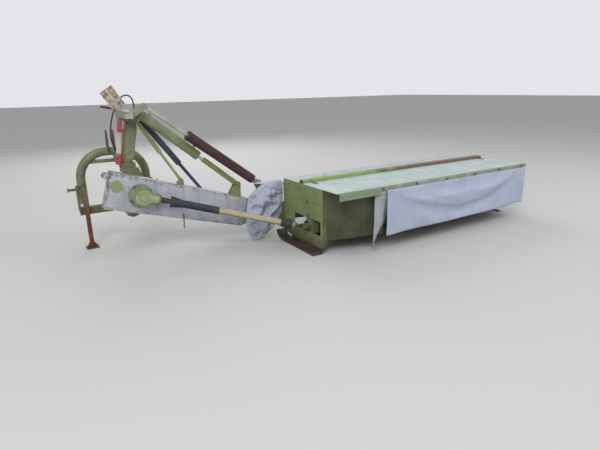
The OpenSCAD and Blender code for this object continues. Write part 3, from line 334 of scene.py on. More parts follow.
def front_panel_zones(tree, place, colour):
    """Rust flecks in rows, as rain leaves them on the flat, and green kept on the front face."""
    rows = add(tree, "TexWave", {"bands_direction": "Y"}, {"Vector": place, "Scale": 7.0, "Distortion": 3.0})["Fac"]
    flecks = mask(tree, place, 42, 0.54, 0.59, detail=3.0, stretch=(0.45, 1.3, 1))
    flecks = times(tree, flecks, band(tree, rows, 0.35, 0.7))
    colour = mix(tree, times(tree, flecks, 0.9), colour, "#6d4c3a")
    front = band(tree, axes(tree, place)["Z"], 0.697, 0.692)
    return mix(tree, times(tree, front, 0.35), colour, UNFADED_AND_LIT_GREEN)


def striped_zones(tree, place, colour):
    """Warning stripes, red above and below a white one, on the board's own slant."""
    up_board = along(tree, place, at(-60.5, -590, 970), at(8.3, -590, 1404.6))
    red = plus(tree, band(tree, up_board, 0.113, 0.109), band(tree, up_board, 0.326, 0.33), clamp=True)
    faded = mix(tree, mask(tree, place, 30, 0.4, 0.7), "#a03350", "#b9566a")
    return mix(tree, red, colour, faded)


def board_zones(tree, place, colour):
    """Cream boards stained with rust, a blue-grey plate behind them."""
    stained = mix(tree, mask(tree, place, 26, 0.45, 0.62), "#b9ad95", "#80624a")
    return mix(tree, beyond(tree, place, -493.2, -493.8), colour, stained)


def column_zones(tree, place, colour):
    """Brown grime down the column's left side, where the hoses drip."""
    foot = at(55, 0, 990)
    height = along(tree, place, foot, at(155, 0, 1400))
    beside = along(tree, place, foot, foot + Vector((-0.97, 0, 0.24)))
    wet = band(tree, ragged(tree, place, beside, 9, 0.2, 0.8, 0.05), 0.045, 0.07)
    return mix(tree, times(tree, wet, band(tree, height, -0.2, 0.1)), colour, "#6f5a48")


def head_zones(tree, place, colour):
    """The cross tube's rear end has lost its green and shows grey primer."""
    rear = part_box("head")[0][1]
    end = band(tree, axes(tree, place)["Y"], rear + 0.003, rear + 0.001)
    primer = mix(tree, mask(tree, place, 30, 0.45, 0.65), "#a6a9a8", "#7d7367")
    return mix(tree, times(tree, end, 0.9), colour, primer)


def plate_zones(tree, place, colour):
    """Rusty rear post of the inner end plate, and painted shade in patches on its lower panel."""
    post = times(tree, beyond(tree, place, -1830, -1831), beyond(tree, place, -1840, -1839))
    rust = times(tree, post, rescaled(tree, mask(tree, place, 16, 0.3, 0.6), 0.45, 0.95))
    colour = mix(tree, rust, colour, "#443a2e")
    # painted shade: the lower panel, below about 0.2 m, darkened in patches
    low = times(tree, band(tree, axes(tree, place)["Z"], 0.21, 0.17), mask(tree, place, 10, 0.3, 0.7))
    return mix(tree, times(tree, low, 0.5), colour, "#4c4634")


def gearbox_zones(tree, place, colour):
    """Oil and dust round the output neck, a paler cover."""
    neck = along(tree, place, at(LIFT_X, -902, LIFT_Z), DRIVE[0])
    oily = times(tree, band(tree, neck, 0.11, 0.16), mask(tree, place, 20, 0.25, 0.6))
    colour = mix(tree, times(tree, oily, 0.75), colour, "#4d4638")
    return mix(tree, times(tree, beyond(tree, place, -952, -955), 0.5), colour, "#a9b880")


def guard_zones(tree, place, colour):
    """The drive shaft's guard: black bells, a black outer tube and a sun-bleached tan inner tube."""
    far = along(tree, place, *DRIVE)
    tan = mix(tree, mask(tree, place, 12, 0.35, 0.75), "#b3a48f", "#a39a7e")
    # its downward-facing side is drawn darker and greener
    under = axes(tree, add(tree, "NewGeometry")["Normal"])["Z"]
    tan = mix(tree, times(tree, band(tree, under, 0.0, -0.6), 0.85), tan, "#747b52")
    colour = mix(tree, between(tree, far, 0.561, 1.2195, 0.001), colour, tan)
    # greasy rusted steel of the two joints, with a bleached plastic ring at the mower's
    steel = mix(tree, mask(tree, place, 30, 0.35, 0.7), "#33281f", "#5d4433")
    plastic = times(tree, between(tree, far, 1.342, 1.375), mask(tree, place, 12, 0.1, 0.4))
    steel = mix(tree, plastic, steel, "#a8906c")
    return mix(tree, between(tree, far, 0.054, 1.3405, 0.001), steel, colour)


def spring_zones(tree, place, colour):
    """Pale grey paint left on the eye at the spring's foot."""
    far = along(tree, place, *SPRING)
    left = minus(tree, 1.0, times(tree, mask(tree, place, 26, 0.5, 0.6), 0.7))
    return mix(tree, times(tree, band(tree, far, 1.412, 1.42), left), colour, "#b4b6b4")


# Seed green enamel, brush-thick and dull after years in the weather
seed_green = enamel("seed_green_enamel", "#76845a", "#8d9a70", chips=0.61, grime=0.45)
column_green = enamel("column_green_enamel", "#758262", "#8a9678", chips=0.61, grime=0.45, zones=column_zones)
gear_green = enamel("gearbox_green_enamel", "#758665", "#87967a", chips=0.63, grime=0.45, zones=gearbox_zones)
head_green = enamel("head_green_enamel", "#7c8570", "#959c86", chips=0.61, grime=0.45, zones=head_zones)
plate_green = enamel("end_plate_green_enamel", "#728455", "#82925f", chips=0.63, grime=0.4, mud_top=0.2,
                     zones=plate_zones)
# The same green, darker as painted shade for the parts that lie in shade, and a little dirtier
painted_shade_green = enamel("painted_shade_green_enamel", "#5a6740", "#6e7851", chips=0.62, grime=0.5)
# A still darker copy for the swath boards and the conditioning hood: painted shade of the dark space under the hood
painted_shade_board_green = enamel("painted_shade_board_green_enamel", "#343c26", "#424a30", chips=0.66, grime=0.5)
# The rail: sides in the painted-shade copy of the green, and a painted lit top from rail_zones
rail_green = enamel("rail_green_enamel", "#5a6740", "#6e7851", chips=0.62, grime=0.4, zones=rail_zones)
# Olive of the hitch's tube under a film of oil and dust
olive_green = enamel("oily_olive_enamel", "#6b7050", "#7d8163", chips=0.6, grime=0.55)
# The hitch's lower plates, where oil, soil and rust have nearly hidden the paint
hitch_brown = enamel("soiled_olive_enamel", "#62593d", "#74694a", chips=0.52, grime=0.8, mud_top=0.6, roughness=0.75)
# White enamel of the boom, greyed, its grey partly painted shade as the boom lies in shade, and run with rust
boom_white = enamel("greyed_and_shade_painted_white_enamel", "#b6bac4", "#a6abb6", chips=0.62, grime=0.3, mud_top=0.45, zones=boom_zones)
strap_white = enamel("strap_white_enamel", "#b4b8b6", "#a3a79c", chips=0.58, grime=0.4)
# Pale mint that the hood's green has chalked to
mint = enamel("chalked_mint_enamel", "#adbebc", "#bfcdcc", chips=0.66, grime=0.18, roughness=0.62,
              zones=rear_panel_zones, flake=(0.6, 1.4, 1))
mint_flecked = enamel("flecked_mint_enamel", "#abb9be", "#bfc9cf", chips=0.64, grime=0.2, roughness=0.62,
                      zones=front_panel_zones, flake=(0.5, 1.4, 1))
# Yellow-green of the telescopic tie
tie_green = enamel("yellowed_green_enamel", "#8d8f50", "#a3a06a", chips=0.6, grime=0.4)
# Blue-black enamel of the strut, nearly matt
strut_blue = enamel("blue_black_enamel", "#27344a", "#34425a", chips=0.68, grime=0.2, roughness=0.55)
# Enamel of the warning boards, chalked by the sun
striped = enamel("striped_board_enamel", "#c9c3bb", "#b8b0a4", chips=0.6, grime=0.4, mud_top=0.1, zones=striped_zones)
cream = enamel("cream_board_enamel", "#9aabba", "#b3bfc8", chips=0.58, grime=0.3, zones=board_zones)
# Dark steel of the cutterbar, skids and discs, worn and caked with dried sap and soil
worked_steel = rusted("sap_stained_steel", "#3a332c", "#57493b", scale=22, roughness=0.7)
# Spring steel with an old even coat of rust, a purplish brown
spring_rust = rusted("rusted_spring_steel", "#3f2c2f", "#5b3d3c", scale=38, zones=spring_zones)
# Light orange-brown rust of the lugs, levers and tines
lug_rust = rusted("orange_rust_steel", "#5d3b28", "#8a5637", scale=34)
lever_rust = rusted("red_rust_steel", "#5e2f28", "#7d4234", scale=34)
# Black polyethylene of the drive shaft's guard; its zones add the tan tube and the rusty joints
guard_black = moulded("weathered_polyethylene", "#22262e", "#353a42", zones=guard_zones)
# Synthetic rubber of the hydraulic hose, dusty black
hose_rubber = moulded("hydraulic_hose_rubber", "#15171b", "#34332f", roughness=0.7)
# Zinc-plated and dulled steel of the hose ends, bolts and linch pins
zinc, tree, shader, place = blank("dulled_zinc_plate", 0.45, metallic=0.85)
dull = mix(tree, mask(tree, place, 60, 0.4, 0.65), "#8d8f8e", "#5d4d3c")
tree.links.new(dull, shader.inputs["Base Color"])
roughen(tree, shader, grain(tree, place, 500.0, 3.0), 0.3, 0.0006)

# Hard chrome of the cylinder's rod, ground round; its square extension is painted
rod, tree, shader, place = blank("chromed_rod_and_green_extension", 0.2)
CHROME_END, PAINT_START = 0.838, 0.84
far = along(tree, place, *CYLINDER)
painted = band(tree, far, CHROME_END, PAINT_START)
green = mix(tree, mask(tree, place, 6, 0.35, 0.7), "#7f9248", "#98a463")
green = mix(tree, times(tree, mask(tree, place, 48, 0.6, 0.64, detail=3.0), 0.9), green, "#5a3f2c")
green = mix(tree, times(tree, mask(tree, place, 9, 0.45, 0.75), 0.5), green, GRIME)
tree.links.new(mix(tree, painted, "#c9ced6", green), shader.inputs["Base Color"])
tree.links.new(band(tree, far, PAINT_START, CHROME_END), shader.inputs["Metallic"])
tree.links.new(rescaled(tree, painted, 0.16, 0.55), shader.inputs["Roughness"])
roughen(tree, shader, grain(tree, place, 300.0), 0.15, 0.0006)

FINISH = {
    "arch": olive_green, "link_plates": hitch_brown, "bearing_bracket": olive_green, "top_link_plates": lug_rust,
    "leg_sleeve": hitch_brown, "parking_leg": lug_rust, "swing_frame": painted_shade_green, "column": column_green,
    "head": head_green, "cylinder_barrel": seed_green, "cylinder_rod": rod,
    "spring_bar": strap_white, "relief_spring": spring_rust, "tie_sleeve": tie_green, "tie_rod": tie_green,
    "strut_tube": strut_blue, "strut_rod": strut_blue, "boom_beam": boom_white, "gearbox": gear_green,
    "rod_bracket": seed_green, "float_carrier": seed_green, "drive_shaft": guard_black,
    "mower_frame": rail_green, "inner_plate": plate_green, "outer_plate": plate_green, "rear_hood": mint,
    "inner_drive": painted_shade_green, "cutterbar": worked_steel, "inner_shoe": worked_steel, "outer_shoe": worked_steel,
    "swath_boards": painted_shade_board_green, "front_guard": mint_flecked, "conditioner_rotor": lug_rust,
    "striped_board": striped, "top_boards": cream,
}
FINISH.update({name: worked_steel for name in nodes if name.startswith("disc_")})
for name, finish in FINISH.items():
    for slot in nodes[name].material_slots:
        slot.material = finish


# ---------------------------------------------------------------- making pieces
def finished(name, shape, finish, body, smooth=False):
    """Turns a shape into a piece of one finish that rides on a body."""
    made = bpy.data.meshes.new(name)
    shape.to_mesh(made)
    shape.free()
    made.materials.append(finish)
    for face in made.polygons:
        face.use_smooth = smooth
    piece = placed(name, made)
    if body:
        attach(piece, body)
    return piece


# Hydraulic hose: from the head over and down to its parked coupling
HOSE_RADIUS = 0.007
HOSE_ROUTE = [(182, -500, 1472), (195, -500, 1487), (205, -500, 1512), (208, -499, 1542), (206, -498, 1575),
              (200, -496, 1605), (186, -491, 1633), (163, -484, 1649), (134, -475, 1651), (108, -465, 1639),
              (84, -454, 1616), (62, -442, 1587), (42, -431, 1552), (23, -424, 1510), (5, -421, 1465),
              (-12, -420, 1415), (-26, -422, 1365), (-37, -427, 1314), (-44, -434, 1263), (-46, -445, 1213),
              (-41, -460, 1165), (-29, -478, 1123), (-17, -494, 1094), (-12, -500, 1078), (-12, -500, 1060)]
way = [at(*p) for p in HOSE_ROUTE]
line = bpy.data.curves.new("hydraulic_hose_line", "CURVE")
line.dimensions = "3D"
line.bevel_depth, line.bevel_resolution, line.resolution_u, line.use_fill_caps = HOSE_RADIUS, 3, 5, True
spline = line.splines.new("BEZIER")
spline.bezier_points.add(len(way) - 1)
for knot, point in zip(spline.bezier_points, way):
    knot.co, knot.handle_left_type, knot.handle_right_type = point, "AUTO", "AUTO"
line.materials.append(hose_rubber)
hose = placed("hose_line", line)
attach(hose, "swing")


# ---------------------------------------------------------------- cloth
CLOTH_THICKNESS = 0.0016


def settle(piece, hung, frames, bend):
    """Lets a cloth hung by some of its points fall into its folds, and keeps that shape."""
    held = piece.vertex_groups.new(name="hung")
    held.add(hung, 1.0, "REPLACE")
    fall = piece.modifiers.new("fall", "CLOTH")
    rules = fall.settings
    rules.vertex_group_mass = "hung"
    rules.quality, rules.mass, rules.air_damping = 7, 0.02, 6.0
    rules.tension_stiffness = rules.compression_stiffness = 60
    rules.shear_stiffness, rules.bending_stiffness = 30, bend
    fall.collision_settings.use_collision = False
    scene = bpy.context.scene
    fall.point_cache.frame_start, fall.point_cache.frame_end = 1, frames
    for step in range(1, frames + 1):
        scene.frame_set(step)
    fallen = bpy.data.meshes.new_from_object(piece.evaluated_get(bpy.context.evaluated_depsgraph_get()))
    piece.modifiers.clear()
    piece.data = fallen
    piece.vertex_groups.clear()
    scene.frame_set(1)


def cloth_grid(columns, rows, place):
    """A grid with a UV map, whose points place(u, v) puts in the frame; v is 1 at the top."""
    shape = bmesh.new()
    shape.loops.layers.uv.new("cloth")
    bmesh.ops.create_grid(shape, x_segments=columns, y_segments=rows, size=0.5, calc_uvs=True)
    for point in shape.verts:
        point.co = place(point.co.x + 0.5, point.co.y + 0.5)
    return shape


def hang(name, node, body, shape, finish, keep, bend=1.2, frames=45):
    area = sum(face.calc_area() for face in shape.faces)
    hung = [point.index for point in shape.verts if keep(point)]
    piece = finished(name, shape, finish, body, smooth=True)
    settle(piece, hung, frames, bend)
    for face in piece.data.polygons:
        face.use_smooth = True
    wall = piece.modifiers.new("thickness", "SOLIDIFY")
    wall.thickness, wall.offset = CLOTH_THICKNESS, 0
    if node:
        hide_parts(node)


def wave(point, seed):
    """A smooth random value from -1 to 1 at a point."""
    return noise.noise(Vector(point) + Vector((seed, seed * 1.7, -seed)))


# Rear curtain: it hangs from the edge strip and wraps the outer corner
REAR_LEFT, REAR_RIGHT, WRAP, CORNER = 2262, 4623, -1660, 22
CURTAIN_Y = HOOD_REAR - 9
rear_run = REAR_RIGHT - CORNER - REAR_LEFT
corner_run = CORNER * math.pi / 2
side_run = WRAP - (CURTAIN_Y + CORNER)
rear_length = (rear_run + corner_run + side_run) / 1000
REAR_DROP, STRIP_FOOT = 0.478, 669


def rear_path(far):
    """Point on the curtain's line and its outward direction, far millimetres from its left end."""
    if far < rear_run:
        return Vector((REAR_LEFT + far, CURTAIN_Y, 0)), Vector((0, -1, 0))
    if far < rear_run + corner_run:
        turn = (far - rear_run) / CORNER
        out = Vector((math.sin(turn), -math.cos(turn), 0))
        return Vector((REAR_RIGHT - CORNER, CURTAIN_Y + CORNER, 0)) + out * CORNER, out
    return Vector((REAR_RIGHT, CURTAIN_Y + CORNER + far - rear_run - corner_run, 0)), Vector((1, 0, 0))


def rear_cloth(u, v):
    far = u * rear_length * 1000
    spot, out = rear_path(far)
    down = 1 - v
    near_corner = math.exp(-(((far - rear_run) / 260) ** 2))
    # slack sags between the ends of the strip, in folds that dip towards the middle
    share = min(1, max(0, (u - 0.03) / 0.78))
    lower = down - 0.8 * (4 * share * (1 - share)) ** 0.8 * 0.6
    fold = 19 * (1 + math.cos(2 * math.pi * (1.35 * lower + 0.12))) * min(1, 3 * share, 4 * (1 - share) + 0.3)
    fold += 12 * (1 + wave((u * 7, down * 1.3, 0), 3.1))
    # one straight crease runs down from the upper inner corner
    crease = (down - 0.08 - 1.5 * u) / 0.07
    fold += 17 * math.exp(-crease * crease) * max(0, 1 - 1.7 * u)
    fold *= min(1, down * 3) * (1 - 0.75 * near_corner)
    # the hem sags a little at the inner end and rises towards the corner
    drop = REAR_DROP * 1000 - 26 * u + 16 * math.exp(-((u - 0.02) / 0.05) ** 2)
    spot = spot + out * (fold + 1)
    return at(spot.x, spot.y, STRIP_FOOT - down * drop)


rear_finish = tarpaulin("white_coated_cloth", "#aab1c6", "#9ba4bd", (rear_length, REAR_DROP), grime=0.3)
hang("rear_curtain_cloth", "rear_curtain", "mower", cloth_grid(150, 30, rear_cloth),
     rear_finish,
     lambda p: p.co.z > at(0, 0, STRIP_FOOT - 4).z)


# Loose flap at the curtain's inner end, curled forward along its free edge. Past TAPER, a share of
# its drop, it narrows to a point
FLAP_DROP, TAPER = 590, 0.62


def flap_cloth(u, v):
    down = 1 - v
    left = 2136 - 62 * down
    right_edge = 2316 - 34 * down if down < TAPER else 2295 - 192 * (down - TAPER) / (1 - TAPER)
    x = left + (right_edge - left) * u
    curl = 30 + 34 * math.cos(math.pi * (0.25 + u + 0.9 * down)) * min(1, 0.35 + down)
    ruck = 10 * wave((u * 2.2, down * 5, 0), 8.3) * min(1, down * 4)
    z = STRIP_FOOT - down * (FLAP_DROP if u < 0.4 else FLAP_DROP - 60 * (u - 0.4))
    return at(x, CURTAIN_Y + curl + ruck, z)


# The flap's cloth is drawn greyer and darker than the curtain's: painted shade, as it hangs in shadow; its heavier
# splashes are dirt
flap_finish = tarpaulin("loose_flap_cloth", "#a4a7ab", "#8b8d8c", (0.12, 0.6), grime=0.8)
hang("rear_flap_cloth", None, "mower", cloth_grid(12, 44, flap_cloth), flap_finish,
     lambda p: p.co.z > at(0, 0, STRIP_FOOT - 6).z, frames=18)


# Front curtain, in shallow even folds
FRONT_LEFT, FRONT_RIGHT, FRONT_DROP = 1772, 4588, 0.5


def front_cloth(u, v):
    down = 1 - v
    fold = 8 * math.sin(2 * math.pi * u * 9 + 1.5 * down) + 6 * wave((u * 14, down * 2, 0), 5.7)
    fold *= min(1, down * 2)
    return at(FRONT_LEFT + (FRONT_RIGHT - FRONT_LEFT) * u, HOOD_FRONT - 8.5 + fold,
              HOOD_TOP - 6 - down * FRONT_DROP * 1000)


front_finish = tarpaulin("grey_coated_cloth", "#b9bec4", "#a9adaf", (2.82, FRONT_DROP), grime=0.9)
hang("front_curtain_cloth", "front_curtain", "guard", cloth_grid(120, 22, front_cloth), front_finish,
     lambda p: p.co.z > at(0, 0, HOOD_TOP - 10).z, frames=25)

# Cover over the float pivot: a crushed bag of cloth. Its edges from the top down, as x and z, below
# the part that is laid over the bar; OVER_BAR is that part's share of the cloth
COVER_LEFT = [(1398, 664), (1212, 556), (1166, 400), (1158, 250), (1180, 130), (1236, 46)]
COVER_RIGHT = [(1656, 656), (1654, 560), (1651, 440), (1640, 290), (1520, 140), (1366, 34)]
OVER_BAR, BAR_TOP, COVER_Y, COVER_DROP = 0.06, 668, -1021, 0.72


def edge(points, v):
    """Point of an edge at a share v of its length in steps."""
    far = v * (len(points) - 1)
    step = min(int(far), len(points) - 2)
    a, b = Vector(points[step]), Vector(points[step + 1])
    return a + (b - a) * (far - step)


# Folds from large to small: height, length along and across the slant, depth in the noise and seed
CRUSH = [(62, 190, 130, 0.4, 2.2), (26, 95, 70, 1.3, 6.1), (9, 45, 40, 2.7, 4.4)]


def cover_cloth(u, v):
    down = 1 - v
    if down < OVER_BAR:
        # the part laid forward over the bar
        share = down / OVER_BAR
        return at(1300 + 340 * u, -945 - 75 * share, BAR_TOP + 4 * math.sin(share * math.pi))
    inner = (down - OVER_BAR) / (1 - OVER_BAR)
    a, b = edge(COVER_LEFT, inner), edge(COVER_RIGHT, inner)
    spot = a + (b - a) * u
    middle = math.sin(math.pi * min(1, max(0, u))) ** 0.7 * math.sin(math.pi * min(1, 0.1 + 0.86 * inner)) ** 0.6
    slant = (spot.x + 0.5 * spot.y, spot.y - 0.3 * spot.x)
    folds = sum(high * (1 - 2.4 * abs(wave((slant[0] / long, slant[1] / wide, depth), seed)))
                for high, long, wide, depth, seed in CRUSH)
    crush = middle * (52 + folds - 32)
    return at(spot.x, COVER_Y - max(0, crush), spot.y)


def with_hole(finish, spot, radius):
    """Draws a small dark hole torn in a cloth."""
    tree = finish.node_tree
    shader = tree.nodes["Principled BSDF"]
    colour = shader.inputs["Base Color"].links[0].from_socket
    place = add(tree, "TexCoord")["Object"]
    far = ragged(tree, place, distance(tree, place, spot), 60, 0.2, 0.8, 0.012)
    tree.links.new(mix(tree, band(tree, far, radius, radius - 0.002), colour, "#15171c"), shader.inputs["Base Color"])
    return finish


cover_finish = tarpaulin("crushed_white_cloth", "#abb0bf", "#969cab", (0.5, 0.7), grime=0.5)
cover_shape = cloth_grid(56, 72, cover_cloth)
cover_area = sum(face.calc_area() for face in cover_shape.faces)
hang("pivot_cover_cloth", "pivot_cover", "mower", cover_shape,
     with_hole(cover_finish, at(1548, -1062, 398), 0.026),
     lambda p: p.co.z > at(0, 0, 640).z or p.co.x > at(1646, 0, 0).x, bend=4.0, frames=14)


# ---------------------------------------------------------------- bolts, rings and chain
def facing(centre, axis):
    """The place of a piece made along Z, moved to a centre and turned to an axis."""
    return Matrix.Translation(centre) @ Vector(axis).to_track_quat("Z", "Y").to_matrix().to_4x4()


def rod_form(shape, place, radius, depth, segments, end_radius=None):
    """A round or many-sided rod about the origin of place, along its Z; gives the operator's result."""
    return bmesh.ops.create_cone(shape, cap_ends=True, segments=segments, radius1=radius,
                                 radius2=end_radius or radius, depth=depth, matrix=place)


def soften(shape, sides, width):
    """Breaks edges with a small round of a width in metres."""
    bmesh.ops.bevel(shape, geom=list(sides), offset=width, affect="EDGES", segments=2, profile=0.5, material=-1)


def bolt(shape, centre, axis, wide):
    """A hexagon head on its washer; wide is across the flats, in metres."""
    place = facing(centre, axis)
    high, washer = wide * 0.6, wide * 0.12
    rod_form(shape, place @ Matrix.Translation((0, 0, washer / 2)), wide * 0.95, washer, 24, wide * 0.92)
    made = rod_form(shape, place @ Matrix.Translation((0, 0, washer + high / 2)), wide / math.sqrt(3), high, 6)
    soften(shape, {side for point in made["verts"] for side in point.link_edges}, wide * 0.05)


def bolts(name, body, rows, finish=zinc):
    """Bolts of one body as one piece, from rows of centre, axis and width across the flats."""
    shape = bmesh.new()
    for centre, axis, wide in rows:
        bolt(shape, centre, axis, wide)
    finished(name, shape, finish, body)


LEFT, RIGHT, REAR, UP = (-1, 0, 0), (1, 0, 0), (0, -1, 0), (0, 0, 1)
DIAGONALS = [math.radians(45 + 90 * k) for k in range(4)]
bolts("strip_bolts", "mower", [(at(x, HOOD_REAR - 5, 686), REAR, 0.019)
                               for x in (2214, 2682, 3150, 3631, 4074, 4520)])
bolts("plate_bolts", "mower", [(at(MOWER_LEFT, y, z), LEFT, 0.018) for y, z in ((-1537, 513), (-1567, 372))])
bolts("plate_rivets", "mower", [(at(MOWER_LEFT, y, 526), LEFT, 0.011) for y in (-1676, -1761)])
bolts("end_bolts", "mower", [(at(MOWER_RIGHT, y, z), RIGHT, 0.018) for y, z in
                             ((-1130, 640), (-1130, 400), (-1380, 640), (-1470, 640), (-1600, 200), (-1200, 200))])
# Bolt circle of the gearbox in millimetres; half side of its base and the discs' hubs in metres
BOSS_RADIUS, BASE_HALF, HUB_RADIUS, HUB_TOP, DISC_COUNT = 68, 0.0785, 0.032, 0.131, 7
bolts("gearbox_bolts", "boom", [
    (at(LIFT_X + BOSS_RADIUS * math.cos(a), -969, LIFT_Z - BOSS_RADIUS * math.sin(a)), REAR, 0.011)
    for a in DIAGONALS], finish=gear_green)
bolts("base_bolts", "boom", [
    (at(LIFT_X, -828, LIFT_Z) + boom_way * a * BASE_HALF + boom_side * b * BASE_HALF, REAR, 0.013)
    for a in (-1, 1) for b in (-1, 1)])
for i in range(DISC_COUNT):
    disc_low, disc_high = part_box(f"disc_{i + 1}")
    hub = Vector(((disc_low[0] + disc_high[0]) / 2, (disc_low[1] + disc_high[1]) / 2, HUB_TOP))
    bolts(f"disc_bolts_{i + 1}", f"mowing_disc_{i + 1}", [
        (hub + Vector((HUB_RADIUS * math.cos(a), HUB_RADIUS * math.sin(a), 0)), UP, 0.013)
        for a in DIAGONALS], finish=worked_steel)


def linked(start):
    """All the points of the piece that a point belongs to."""
    seen, ahead = {start}, [start]
    while ahead:
        for side in ahead.pop().link_edges:
            for point in side.verts:
                if point not in seen:
                    seen.add(point)
                    ahead.append(point)
    return seen


def ring(shape, place, radius, wire, longer=0.0, around=20):
    """A closed ring of round wire, or a chain link where it is drawn out by longer along its X."""
    made = bmesh.ops.create_circle(shape, segments=10, radius=wire,
                                   matrix=Matrix.Translation((radius, 0, 0)) @ Matrix.Rotation(math.pi / 2, 4, "X"))
    outline = {side for point in made["verts"] for side in point.link_edges}
    turned = bmesh.ops.spin(shape, geom=made["verts"] + list(outline), cent=(0, 0, 0), axis=(0, 0, 1),
                            angle=2 * math.pi, steps=around, use_merge=True)
    points = set(made["verts"] + [g for g in turned["geom_last"] if isinstance(g, bmesh.types.BMVert)])
    points |= {p for start in list(points) for p in linked(start)}
    for point in points:
        point.co.x += longer * (1 if point.co.x > 1e-6 else -1 if point.co.x < -1e-6 else 0)
        point.co = place @ point.co


# ---------------------------------------------------------------- sheet metal and small pieces
def plate(shape, outline, front, thick):
    """A flat plate from an outline in x and z, from its front face towards the rear; all in millimetres."""
    near = [shape.verts.new(at(x, front, z)) for x, z in outline]
    far = [shape.verts.new(at(x, front - thick, z)) for x, z in outline]
    shape.faces.new(near)
    shape.faces.new(far[::-1])
    for i, corner in enumerate(near):
        after = (i + 1) % len(near)
        shape.faces.new((corner, far[i], far[after], near[after]))
    bmesh.ops.recalc_face_normals(shape, faces=shape.faces)


def round_end(middle, start):
    """Points of a half circle round a middle, from the one after start."""
    return [middle + Matrix.Rotation(-math.pi * k / 8, 2) @ (start - middle) for k in range(1, 8)]


def bent_bar(points, half):
    """Outline of a flat bar along points in x and z, half its width to each side, with round ends."""
    points = [Vector(p) for p in points]
    sides = ([], [])
    for i, point in enumerate(points):
        ways = [(b - a).normalized() for a, b in zip(points, points[1:])]
        before, after = ways[max(0, i - 1)], ways[min(i, len(ways) - 1)]
        out = Vector((-(before + after).y, (before + after).x)).normalized()
        out *= half / max(0.5, out.dot(Vector((-after.y, after.x))))
        sides[0].append(point + out)
        sides[1].append(point - out)
    return sides[0] + round_end(points[-1], sides[0][-1]) + sides[1][::-1] + round_end(points[0], sides[1][0])


def stub(shape, low, high, radius):
    """A round stub from one point to another, with a broken edge."""
    made = rod_form(shape, facing((low + high) / 2, high - low), radius, (high - low).length, 24)
    rim = {side for point in made["verts"] for side in point.link_edges if abs(side.calc_face_angle(0)) > 1}
    soften(shape, rim, radius * 0.08)


# Bent lever of the break-away catch, on the head's front
LEVER_FRONT, LEVER = -436, [(65, 1486), (11, 1523), (-97, 1543)]
shape = bmesh.new()
plate(shape, bent_bar(LEVER, 12), LEVER_FRONT, 9)
finished("catch_lever", shape, lever_rust, "swing")
bolts("catch_bolt", "swing", [(at(LEVER[0][0], LEVER_FRONT, LEVER[0][1]), (0, 1, 0), 0.019)])

# The hose's union, its parked coupling and the plate that holds the coupling
shape = bmesh.new()
for foot, end in ((at(164, -500, 1450), way[0]), (at(-12, -500, 1021), way[-1])):
    nut = foot + (end - foot).normalized() * 0.014
    stub(shape, foot, nut, 0.015)
    stub(shape, nut, end, 0.010)
finished("hose_fittings", shape, zinc, "swing")
shape = bmesh.new()
holder_size = Matrix.Diagonal((0.052, 0.044, 0.006, 1))
bmesh.ops.create_cube(shape, size=1, matrix=Matrix.Translation(at(-6, -500, 1018)) @ holder_size)
finished("coupling_holder", shape, column_green, "swing")

# Curved sheet over the rotor, concentric with it
ROTOR_Y, ROTOR_Z, COWL_MIDDLE, COWL_LENGTH, COWL_RADIUS = -1805, 430, 3140, 1996, 207.5
shape = bmesh.new()
bmesh.ops.create_grid(shape, x_segments=8, y_segments=32, size=0.5)
for point in shape.verts:
    turn = math.radians(85 + 130 * point.co.y)
    point.co = at(COWL_MIDDLE + COWL_LENGTH * point.co.x, ROTOR_Y + COWL_RADIUS * math.cos(turn),
                  ROTOR_Z + COWL_RADIUS * math.sin(turn))
cowl = finished("conditioning_hood", shape, painted_shade_board_green, "mower", smooth=True)
wall = cowl.modifiers.new("sheet", "SOLIDIFY")
wall.thickness, wall.offset = 0.005, 0

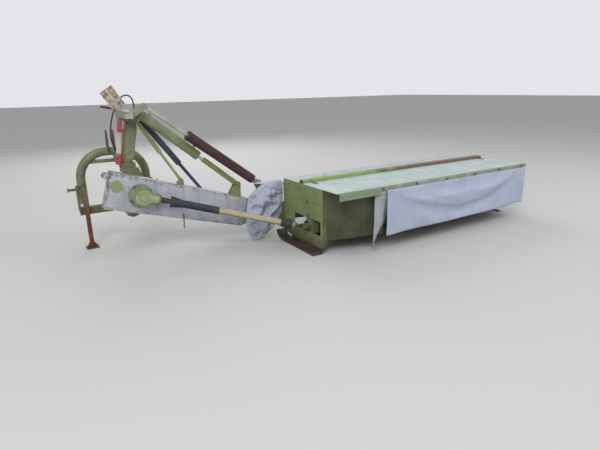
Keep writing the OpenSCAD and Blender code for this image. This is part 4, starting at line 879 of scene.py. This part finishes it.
# Chain that hangs under the boom, its links turned by a quarter one after the other
LINKS, LINK_PITCH = 7, 23
UPRIGHT = Matrix.Rotation(math.pi / 2, 4, "Y")
shape = bmesh.new()
for i in range(LINKS):
    turn = Matrix.Rotation(math.pi / 2 * (i % 2), 4, "X")
    ring(shape, Matrix.Translation(at(527 - i * 0.8, -818, 392 - LINK_PITCH * i)) @ UPRIGHT @ turn, 0.0075, 0.0028,
         longer=0.0065, around=16)
bmesh.ops.recalc_face_normals(shape, faces=shape.faces)
finished("boom_chain", shape, lug_rust, "boom", smooth=True)

# Linch pins and their rings on the lower link pins
shape = bmesh.new()
for side in (-1, 1):
    spot = at(side * 487, 0, 650)
    rod_form(shape, Matrix.Translation(spot), 0.005, 0.05, 16)
    ring(shape, Matrix.Translation(spot + Vector((0, 0, 0.004))) @ UPRIGHT, 0.021, 0.002, around=24)
bmesh.ops.recalc_face_normals(shape, faces=shape.faces)
finished("linch_pins", shape, zinc, "headstock", smooth=True)

# ---------------------------------------------------------------- stage
shape = bmesh.new()
bmesh.ops.create_grid(shape, x_segments=1, y_segments=1, size=60)
paper, tree, shader, place = blank("pale_floor", 0.9)
shader.inputs["Base Color"].default_value = linear("#c9c9c6")
floor = finished("floor", shape, paper, None)

world = bpy.data.worlds.new("studio")
world.use_nodes = True
bpy.context.scene.world = world
sky = world.node_tree
rays = add(sky, "LightPath")
# the backdrop that is seen is brighter than the light it gives
seen = combine(sky, "MAXIMUM", rays["Is Camera Ray"], rays["Is Glossy Ray"])
seen = combine(sky, "MAXIMUM", seen, rays["Is Transmission Ray"])
level = rescaled(sky, seen, 0.55, 0.9)
backdrop = sky.nodes["Background"]
backdrop.inputs["Color"].default_value = linear("#eef0f4")
sky.links.new(level, backdrop.inputs["Strength"])

# Lamps: name, place and side in metres, power in watts
LAMPS = [("key", (-6, -7, 7.5), 5.0, 620), ("fill", (7, -6, 5), 6.0, 260), ("back", (1, 8, 6), 6.0, 300)]
for name, place, size, power in LAMPS:
    lamp = bpy.data.lights.new(name, "AREA")
    lamp.energy, lamp.size = power, size
    holder = placed(name, lamp)
    holder.location = place
    holder.rotation_mode = "QUATERNION"
    holder.rotation_quaternion = (Vector((0, 0, 0.5)) - Vector(place)).to_track_quat("-Z", "Y")
